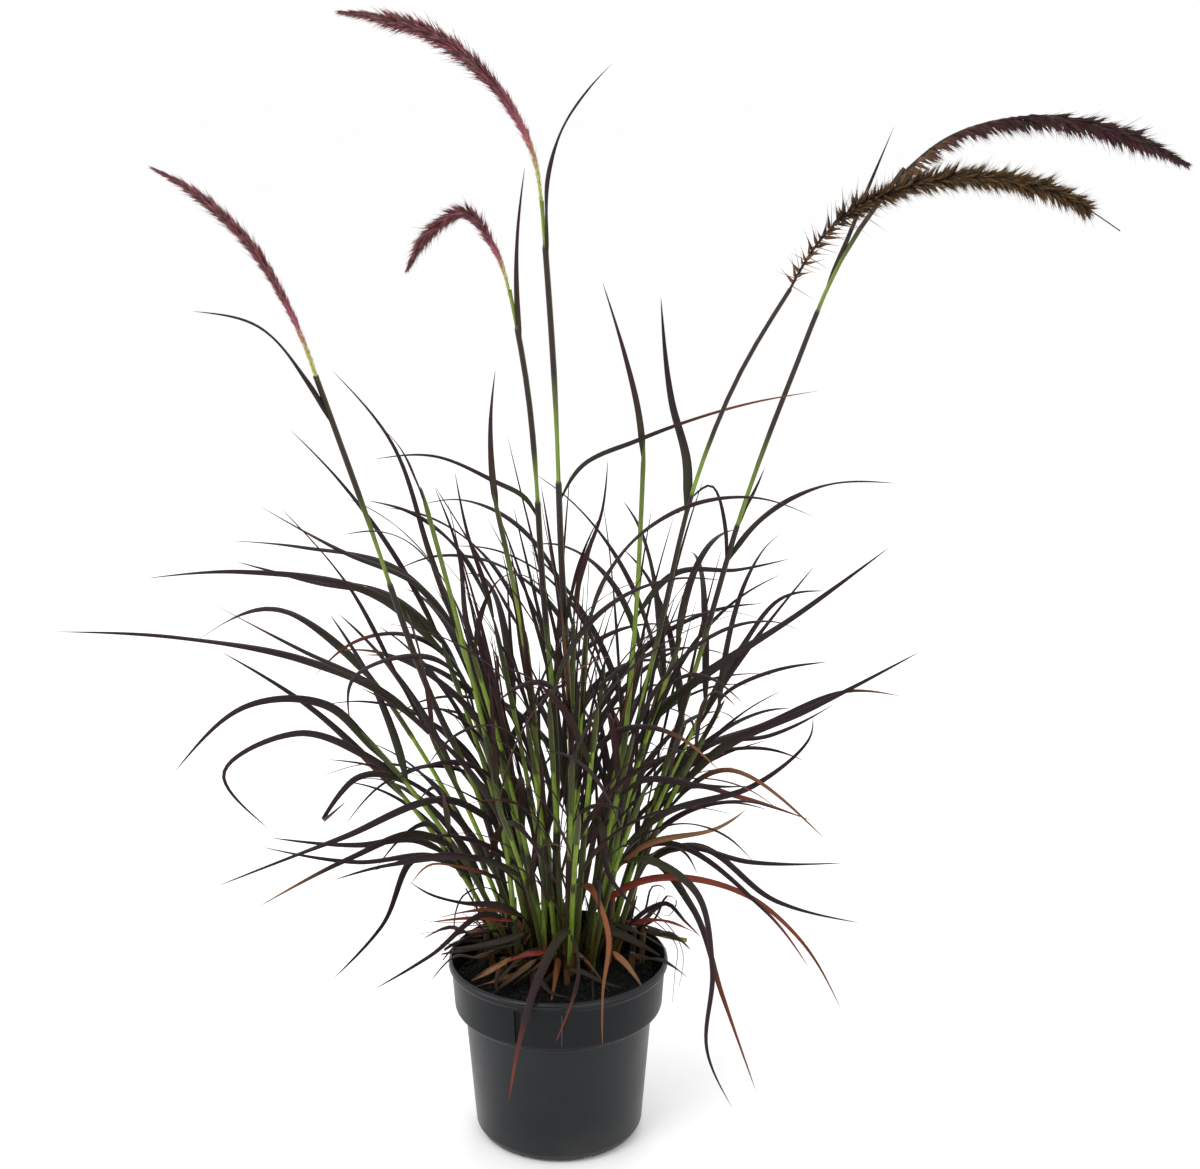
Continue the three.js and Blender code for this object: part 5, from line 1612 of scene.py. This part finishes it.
# %% Habits of the five plumes
PLUME_STATIONS = 60
OPEN_PART = (0.03, 0.31)
SLIM_TO, WIDENING = 0.08, 0.42
ENDING_FROM, ENDING = 0.78, 0.22
FILLS_FROM, FILLING = 0.42, 0.2
SHARP_POINT, BLUNT_POINT = 0.6, 0.3
HABIT_NAMES = ("tuft", "bristle", "slim", "lean", "span", "droop")
HABIT_ROWS = {
    "a": (16.0, 1.2, 0.48, (0.26, 0.36), (0.0, 0.985), 0.10),
    "b": (18.0, 1.3, 0.40, (0.24, 0.52), (0.0, 0.985), 0.12),
    "c": (15.5, 1.2, 0.42, (0.26, 0.62), (0.0, 0.985), 0.10),
    "d": (22.5, 1.1, 0.80, (0.42, 0.74), (0.0, 0.985), 0.75),
    "e": (18.5, 1.08, 0.75, (1.05, 0.88), (0.25, 0.90), 0.10),
}
PLUME_HABITS = {name: dict(zip(HABIT_NAMES, row)) for name, row in HABIT_ROWS.items()}
SPARSE = {"tufts": 1.7, "bristles": 1.8}
DENSE = {"tufts": 2.3, "bristles": 3.2}
print("plume lengths, mm:", [rounded(path_length(fine_chain(line))) for line in plumes.values()])


def plume_guide(name, low=0.0, high=1.0):
    habit = PLUME_HABITS[name]
    shares = [low + (high - low) * i / PLUME_STATIONS for i in range(PLUME_STATIONS + 1)]
    points = resample(fine_chain(plumes[name]), shares)
    slim, (low_lean, high_lean) = habit["slim"], habit["lean"]
    climb = [clamp((u - SLIM_TO) / WIDENING, 0, 1) for u in shares]
    ending = [clamp((u - ENDING_FROM) / ENDING, 0, 1) for u in shares]
    point = BLUNT_POINT if name == "e" else SHARP_POINT
    swell = [(slim + (1 - slim) * c) * (1 - point * e) for c, e in zip(climb, ending)]
    opened = [(low_lean + (high_lean - low_lean) * c) * (1 - point * e) for c, e in zip(climb, ending)]
    crowd = [1.0 if low == 0 else clamp(0.4 + (u - low) / 0.15, 0, 1) for u in shares]
    hang = [1.0 for _ in shares]
    if name == "d":
        filled = [clamp((u - FILLS_FROM) / FILLING, 0, 1) for u in shares]
        crowd = [0.5 + 0.5 * share for share in filled]
        hang = [1.0 - 0.7 * share for share in filled]
    return {"points": points, "along": shares, "swell": swell, "crowd": crowd, "open": opened,
            "hang": hang}


def axis_guide(name):
    line = plume_guide(name)
    count = len(line["points"])
    radii = [(1.25 - 0.75 * u) * MM for u in line["along"]]
    none = [0.0] * count
    dark = [{"d": 0.8, "e": 1.15}.get(name, 0.0)] * count
    green = [1.0 if name in "abc" else 0.0] * count
    return {"points": line["points"], "radius": radii, "along": line["along"], "tone": none,
            "bare": green, "purple": [1.0] * count, "ring": dark, "dry": none}


# %% Tufts, bristles and axis of each plume
def grow_along(name, kind, span, per_mm, finish, **values):
    line = plume_guide(name, *span)
    count = rounded(path_length(line["points"]) * per_mm)
    guide = guide_lines([line])
    piece = grown(f"plume_{name}_{kind}", guide, bristly_plume, count=count, finish=finish, **values)
    settle(piece, "plume", f"plume_{name}")


def grow_plume(name, tufts, bristles, crowding):
    habit = PLUME_HABITS[name]
    span, droop = habit["span"], habit["droop"]
    tuft = habit["tuft"] * MM
    grow_along(name, "tufts", span, crowding["tufts"], tufts, part=tuft_shape, length=tuft,
               lean_low=0.7, lean_high=1.25, droop=droop, seed=1)
    grow_along(name, "bristles", span, crowding["bristles"], bristles, part=bristle_shape,
               length=tuft * habit["bristle"], lean_low=0.6, lean_high=1.4, droop=droop, seed=2)
    add_stems(f"plume_{name}_axis", [axis_guide(name)], "plume", f"plume_{name}", corners=6)


for name in "abc":
    grow_plume(name, WINE_TUFTS, WINE_BRISTLES, DENSE)
grow_plume("d", DARK_TUFTS, DARK_BRISTLES, SPARSE)
grow_plume("e", TAN_TUFTS, TAN_BRISTLES, DENSE)
grow_along("e", "single_tufts", OPEN_PART, 0.5, TAN_TUFTS, part=single_shape, length=29 * MM,
           lean_low=0.65, lean_high=1.0, droop=0.2, seed=3)
grow_along("e", "awns", OPEN_PART, 0.3, TAN_BRISTLES, part=bristle_shape, length=34 * MM,
           lean_low=0.6, lean_high=0.95, droop=0.6, seed=4)
for shape in (tuft_shape, single_shape, bristle_shape):
    bpy.data.objects.remove(shape)

# %% [markdown]
# ## Nursery pot
# The pot is one thin moulded wall: a rolled lip, a deep band with a bare label tab, a tapered body
# and a foot with small drain notches. A lathe modifier could turn it, but the tab and the notches
# interrupt the round, so the wall is laid out as a grid of angles and heights, and the grid is
# pushed out at the tab and up at the notches. Extra columns beside each edge keep it crisp.

# %% Sizes of the pot
BASE_RADIUS = 69.4
BAND_TOP_RADIUS = 97
BAND_BOTTOM_RADIUS = 94.5
BAND_BOTTOM = 125
BODY_TOP_RADIUS = 85
BODY_BOTTOM_RADIUS = 76.5
WALL = 2
FLOOR_THICKNESS = 5
LIP_BOTTOM = POT_HEIGHT - 9
TAB = (-109, -87)
SLOT = (-112.4, -109)
SLOT_DEPTH = 1.3
NOTCH_HEIGHT = 3
NOTCH_MIDDLES = [22.5 + 45 * i for i in range(8)]
NOTCH_HALF = 4
EDGE = 0.12
TAB_STAND_OFF = 1.2
LIP_STAND_OFF = 0.9
SHARP_ANGLE = 32


# %% Outline of the wall, with its corners rounded
def rounded_outline(corners, reach=1.4, steps=3):
    outline = [corners[0]]
    for before, here, after in zip(corners, corners[1:], corners[2:]):
        back, ahead = math.dist(before, here), math.dist(here, after)
        take = min(reach, 0.42 * back, 0.42 * ahead)
        first = [h + (b - h) * take / back for h, b in zip(here, before)]
        last = [h + (a - h) * take / ahead for h, a in zip(here, after)]
        for k in range(steps + 1):
            t = k / steps
            weights = ((1 - t) ** 2, 2 * t * (1 - t), t ** 2)
            pulls = [*zip(weights, (first, here, last))]
            outline.append(tuple(sum(weight * spot[n] for weight, spot in pulls) for n in (0, 1)))
    return [*outline, corners[-1]]


def with_rows(outline, heights):
    result = [outline[0]]
    for (r0, z0), (r1, z1) in zip(outline, outline[1:]):
        between = sorted((z for z in heights if min(z0, z1) < z < max(z0, z1)), reverse=z1 < z0)
        result += [(r0 + (r1 - r0) * (z - z0) / (z1 - z0), z) for z in between]
        result.append((r1, z1))
    return result


POT_OUTSIDE = [
    (BASE_RADIUS - 9, 0), (BASE_RADIUS, 0), (BASE_RADIUS + 3.6, 3), (BODY_BOTTOM_RADIUS, 9),
    (BODY_TOP_RADIUS, BAND_BOTTOM - 8), (BODY_TOP_RADIUS + 2.6, BAND_BOTTOM - 5.4),
    (BAND_BOTTOM_RADIUS - 2, BAND_BOTTOM - 3), (BAND_BOTTOM_RADIUS, BAND_BOTTOM),
    (BAND_TOP_RADIUS, LIP_BOTTOM), (LIP_RADIUS - 1.6, LIP_BOTTOM + 0.8),
    (LIP_RADIUS, LIP_BOTTOM + 3.4), (LIP_RADIUS - 0.9, POT_HEIGHT - 1.6), (LIP_RADIUS - 3.2, POT_HEIGHT),
]
POT_INSIDE = [
    (BAND_TOP_RADIUS - 0.5, POT_HEIGHT - 1.2), (BAND_TOP_RADIUS - WALL, POT_HEIGHT - 5),
    (BAND_BOTTOM_RADIUS - WALL, BAND_BOTTOM + 1), (BODY_TOP_RADIUS - WALL, BAND_BOTTOM - 5),
    (BODY_BOTTOM_RADIUS - WALL, 10), (BASE_RADIUS - 1, FLOOR_THICKNESS), (20, FLOOR_THICKNESS),
]
TAB_ROWS = [BAND_BOTTOM + 2, BAND_BOTTOM + 3, POT_HEIGHT - 11, POT_HEIGHT - 8, POT_HEIGHT - 7.5,
            POT_HEIGHT - 2.5]
edge_rows = [row + shift for row in TAB_ROWS for shift in (-EDGE, EDGE)]
outside = with_rows(rounded_outline(POT_OUTSIDE), edge_rows)
inside = rounded_outline(POT_INSIDE)
print("rows of the pot:", len(outside) + len(inside))

# %% Columns of the grid, and what the tab and the notches do to it
ROUND_STEPS = 144


def pot_angles():
    angles = {round(360 * i / ROUND_STEPS, 3) for i in range(ROUND_STEPS)}
    edges = [*TAB, SLOT[0], TAB[1] + 0.5] + [m + s * NOTCH_HALF for m in NOTCH_MIDDLES for s in (-1, 1)]
    angles |= {round((edge + shift) % 360, 3) for edge in edges for shift in (-EDGE, EDGE)}
    return sorted(angles)


def within(angle, span):
    return span[0] < (angle + 180) % 360 - 180 < span[1]


def shaped(radius, z, angle, is_outside):
    if not is_outside:
        return radius, z
    in_notch = any(abs((angle - middle + 180) % 360 - 180) < NOTCH_HALF for middle in NOTCH_MIDDLES)
    if in_notch and z < NOTCH_HEIGHT:
        return radius, NOTCH_HEIGHT
    if within(angle, TAB) and TAB_ROWS[0] < z < TAB_ROWS[3]:
        return radius + TAB_STAND_OFF, z
    if within(angle, TAB) and TAB_ROWS[4] < z < TAB_ROWS[5]:
        return LIP_RADIUS + LIP_STAND_OFF, z
    if within(angle, SLOT) and TAB_ROWS[1] < z < TAB_ROWS[2]:
        return radius - SLOT_DEPTH, z
    return radius, z


# %% Pot mesh
def make_pot():
    rows = [(r, z, True) for r, z in outside] + [(r, z, False) for r, z in inside]
    angles = pot_angles()
    points = [(0, 0, 0)]
    for r, z, is_outside in rows:
        for angle in angles:
            radius, height = shaped(r, z, angle, is_outside)
            turn = math.radians(angle)
            points.append((radius * math.cos(turn), radius * math.sin(turn), height))
    points.append((0, 0, FLOOR_THICKNESS))
    count, end = len(angles), len(points) - 1
    faces = []
    for j in range(count):
        k = (j + 1) % count
        faces.append((0, 1 + k, 1 + j))
        faces += [(1 + i * count + j, 1 + i * count + k, 1 + (i + 1) * count + k, 1 + (i + 1) * count + j)
                  for i in range(len(rows) - 1)]
        faces.append((end, end - count + j, end - count + k))
    piece = new_piece("nursery_pot", [scale(point, MM) for point in points], faces)
    mesh = piece.data
    # Masks for painted light: "slot" marks painted shade in the slot recess, "step" a painted highlight on
    # the tab's edge.
    for key, span in (("slot", SLOT), ("step", (TAB[1] - 2 * EDGE, TAB[1] + 2 * EDGE))):
        inside_it = [float(out and within(angle, span) and TAB_ROWS[1] < z < TAB_ROWS[2])
                     for _, z, out in rows for angle in angles]
        values = np.array([0, *inside_it, 0], np.float32)
        mesh.attributes.new(key, "FLOAT", "POINT").data.foreach_set("value", values)
    mesh.shade_smooth()
    mesh.set_sharp_from_angle(angle=math.radians(SHARP_ANGLE))
    return piece


# %% Pot finish
def pot_finish():
    finish, tree, shader = new_finish("slate plastic")
    broad = noise(tree, stretched(tree, 9, 9, 16), 1.0, 4.0)
    grain = noise(tree, stretched(tree, 900, 900, 900), 1.0, 2.0)
    rings = noise(tree, stretched(tree, 12, 12, 420), 1.0, 3.0)
    where = place(tree, "ShaderNodeTexCoord").outputs["Object"]
    height = place(tree, "ShaderNodeSeparateXYZ", {0: where}).outputs["Z"]
    dust = times(tree, ramp(tree, height, 0.05, 0.0), ramp(tree, broad, 0.4, 0.7))
    base = blended(tree, broad, (0.0088, 0.0097, 0.0111), (0.0134, 0.0148, 0.0170))
    # Painted shade: the band faces slightly downwards, so it gets a darker base colour than the body.
    band = ramp(tree, height, 0.119, 0.124)
    base = blended(tree, times(tree, band, 0.4), base, (0.0040, 0.0042, 0.0048))
    scuff = ramp(tree, noise(tree, stretched(tree, 60, 60, 260), 1.0, 5.0, 0.7), 0.62, 0.72)
    base = blended(tree, times(tree, scuff, 0.22), base, (0.050, 0.053, 0.058))
    base = blended(tree, times(tree, dust, 0.3), base, (0.060, 0.058, 0.054))
    # Painted shade: the slot recess beside the tab is coloured near black.
    base = blended(tree, attribute(tree, "slot"), base, (0.0010, 0.0010, 0.0012))
    # Painted highlight: a thin lighter strip down the edge of the tab.
    base = blended(tree, attribute(tree, "step"), base, (0.045, 0.049, 0.055))
    join(tree, base, shader.inputs["Base Color"])
    lip_gloss = ramp(tree, height, 0.164, 0.168, 0.0, 0.16)
    gloss = plus(tree, times_plus(tree, band, -0.08, 0.19), lip_gloss)
    join(tree, gloss, shader.inputs["Specular IOR Level"])
    rough = plus(tree, ramp(tree, broad, 0.3, 0.7, 0.30, 0.40), times(tree, scuff, 0.15))
    join(tree, rough, shader.inputs["Roughness"])
    fine = bumped(tree, grain, 0.00006, 0.5)
    join(tree, bumped(tree, rings, 0.00012, 0.35, fine), shader.inputs["Normal"])
    return finish


pot = make_pot()
pot.data.materials.append(pot_finish())
settle(pot, "pot_plastic", "pot")

# %% [markdown]
# ## Potting soil
# The soil is near-black peat: a lumpy heap that fills the pot, with loose crumbs on it. The heap
# is a closed body with low swells and fine lumps in its mesh. The crumbs are copied
# over its top by a tree, and each one is then knocked out of round, so that no two look alike.

# %% The heap of soil
SOIL_RINGS = 52
SOIL_STEPS = 120
SOIL_EDGE = BAND_BOTTOM_RADIUS - WALL + 0.6


def soil_height(x, y):
    radius, angle = math.hypot(x, y), math.atan2(y, x)
    wave = math.sin(3 * angle + 0.11 * radius) + math.sin(5 * angle - 0.17 * radius + 1)
    rise = 1.5 if radius < 60 else 1.5 - (radius - 60) * 0.12
    swells = 2.2 * lumps.fractal((x / 17, y / 17, 3.1), 0.9, 2.1, 4)
    clods = 0.9 * lumps.noise((x / 4, y / 4, 8.0))
    edge = clamp((SOIL_EDGE - radius) / 12, 0.25, 1)
    return SOIL_TOP + rise + 1.1 * wave + (swells + clods) * edge


def make_soil():
    points = [(0, 0, soil_height(0, 0))]
    faces = []
    for i in range(1, SOIL_RINGS + 1):
        radius = SOIL_EDGE * i / SOIL_RINGS
        for j in range(SOIL_STEPS):
            angle = 2 * math.pi * (j + 0.5 * (i % 2)) / SOIL_STEPS
            x, y = radius * math.cos(angle), radius * math.sin(angle)
            points.append((x, y, soil_height(x, y)))
    for radius, z in ((SOIL_EDGE - 0.8, BAND_BOTTOM + 2), (BODY_TOP_RADIUS - 3, BAND_BOTTOM - 6),
                      (BODY_BOTTOM_RADIUS - 2.5, 12), (BASE_RADIUS - 2, FLOOR_THICKNESS + 0.4)):
        for j in range(SOIL_STEPS):
            angle = 2 * math.pi * j / SOIL_STEPS
            points.append((radius * math.cos(angle), radius * math.sin(angle), z))
    points.append((0, 0, FLOOR_THICKNESS + 0.4))
    end = len(points) - 1
    for j in range(SOIL_STEPS):
        k = (j + 1) % SOIL_STEPS
        faces.append((0, 1 + j, 1 + k))
        for i in range(SOIL_RINGS + 3):
            low, high = 1 + i * SOIL_STEPS, 1 + (i + 1) * SOIL_STEPS
            faces.append((low + j, high + j, high + k, low + k))
        faces.append((end, end - SOIL_STEPS + k, end - SOIL_STEPS + j))
    piece = new_piece("potting_soil", [scale(point, MM) for point in points], faces)
    piece.data.shade_smooth()
    return piece


# %% Soil finish
def soil_finish():
    finish, tree, shader = new_finish("peat", Roughness=0.92, Specular_IOR_Level=0.2)
    coarse = noise(tree, stretched(tree, 130, 130, 130), 1.0, 5.0, 0.65)
    fine = noise(tree, stretched(tree, 900, 900, 900), 1.0, 4.0, 0.6)
    base = blended(tree, coarse, (0.0012, 0.0011, 0.0010), (0.0070, 0.0064, 0.0057))
    specks = ramp(tree, noise(tree, stretched(tree, 420, 420, 420), 1.0, 1.0), 0.70, 0.77)
    base = blended(tree, times(tree, specks, 0.85), base, (0.150, 0.130, 0.108))
    join(tree, base, shader.inputs["Base Color"])
    join(tree, ramp(tree, fine, 0.3, 0.7, 0.75, 0.98), shader.inputs["Roughness"])
    relief = times_plus(tree, coarse, 2.0, fine)
    join(tree, bumped(tree, relief, 0.0012, 0.9), shader.inputs["Normal"])
    return finish


SOIL = soil_finish()
soil = make_soil()
soil.data.materials.append(SOIL)
settle(soil, "soil", "soil")

# %% The tree that scatters crumbs on the soil
def crumb_growth():
    inputs = [("Density", "Float", 80000.0), ("Largest", "Float", 0.0036), ("Seed", "Int", 4),
              ("Finish", "Material", None)]
    tree, given = new_growth("soil crumbs", inputs)
    sockets = {"Mesh": given["Geometry"], "Density": given["Density"], "Seed": given["Seed"]}
    spots = place(tree, "GeometryNodeDistributePointsOnFaces", sockets)
    crumb = place(tree, "GeometryNodeMeshIcoSphere", {"Radius": 1.0, "Subdivisions": 1}).outputs["Mesh"]
    any_turn = {1: (FULL_TURN, FULL_TURN, FULL_TURN)}
    turn = place(tree, "FunctionNodeRandomValue", any_turn, data_type="FLOAT_VECTOR").outputs[0]
    size_share = maths(tree, "POWER", chance(tree, 0.25, 1.0, 9), 2.4)
    length = times(tree, size_share, given["Largest"])
    sockets = {"Points": spots.outputs["Points"], "Instance": crumb, "Rotation": turn, "Scale": length}
    copies = place(tree, "GeometryNodeInstanceOnPoints", sockets).outputs[0]
    real = place(tree, "GeometryNodeRealizeInstances", {"Geometry": copies}).outputs[0]
    where = place(tree, "GeometryNodeInputPosition").outputs[0]
    sockets = {"Vector": where, "Scale": 700.0, "Detail": 2.0}
    lumpy = place(tree, "ShaderNodeTexNoise", sockets).outputs["Color"]
    middle = vector_maths(tree, "SUBTRACT", lumpy, (0.5, 0.5, 0.5))
    push = vector_maths(tree, "SCALE", middle, 0.0028)
    knocked = place(tree, "GeometryNodeSetPosition", {"Geometry": real, "Offset": push}).outputs[0]
    end_growth(tree, knocked, given["Finish"])
    return tree


def carries_crumbs(face):
    middle = face.calc_center_median()
    return face.normal.z >= 0.3 and middle.xy.length <= (SOIL_EDGE - 3) * MM and middle.z >= 0.1


def soil_top_patch():
    patch = soil.data.copy()
    top = bmesh.new()
    top.from_mesh(patch)
    hidden = [face for face in top.faces if not carries_crumbs(face)]
    bmesh.ops.delete(top, geom=hidden, context="FACES")
    top.to_mesh(patch)
    top.free()
    patch.materials.clear()
    return patch


settle(grown("soil_crumbs", soil_top_patch(), crumb_growth(), finish=SOIL), "soil")
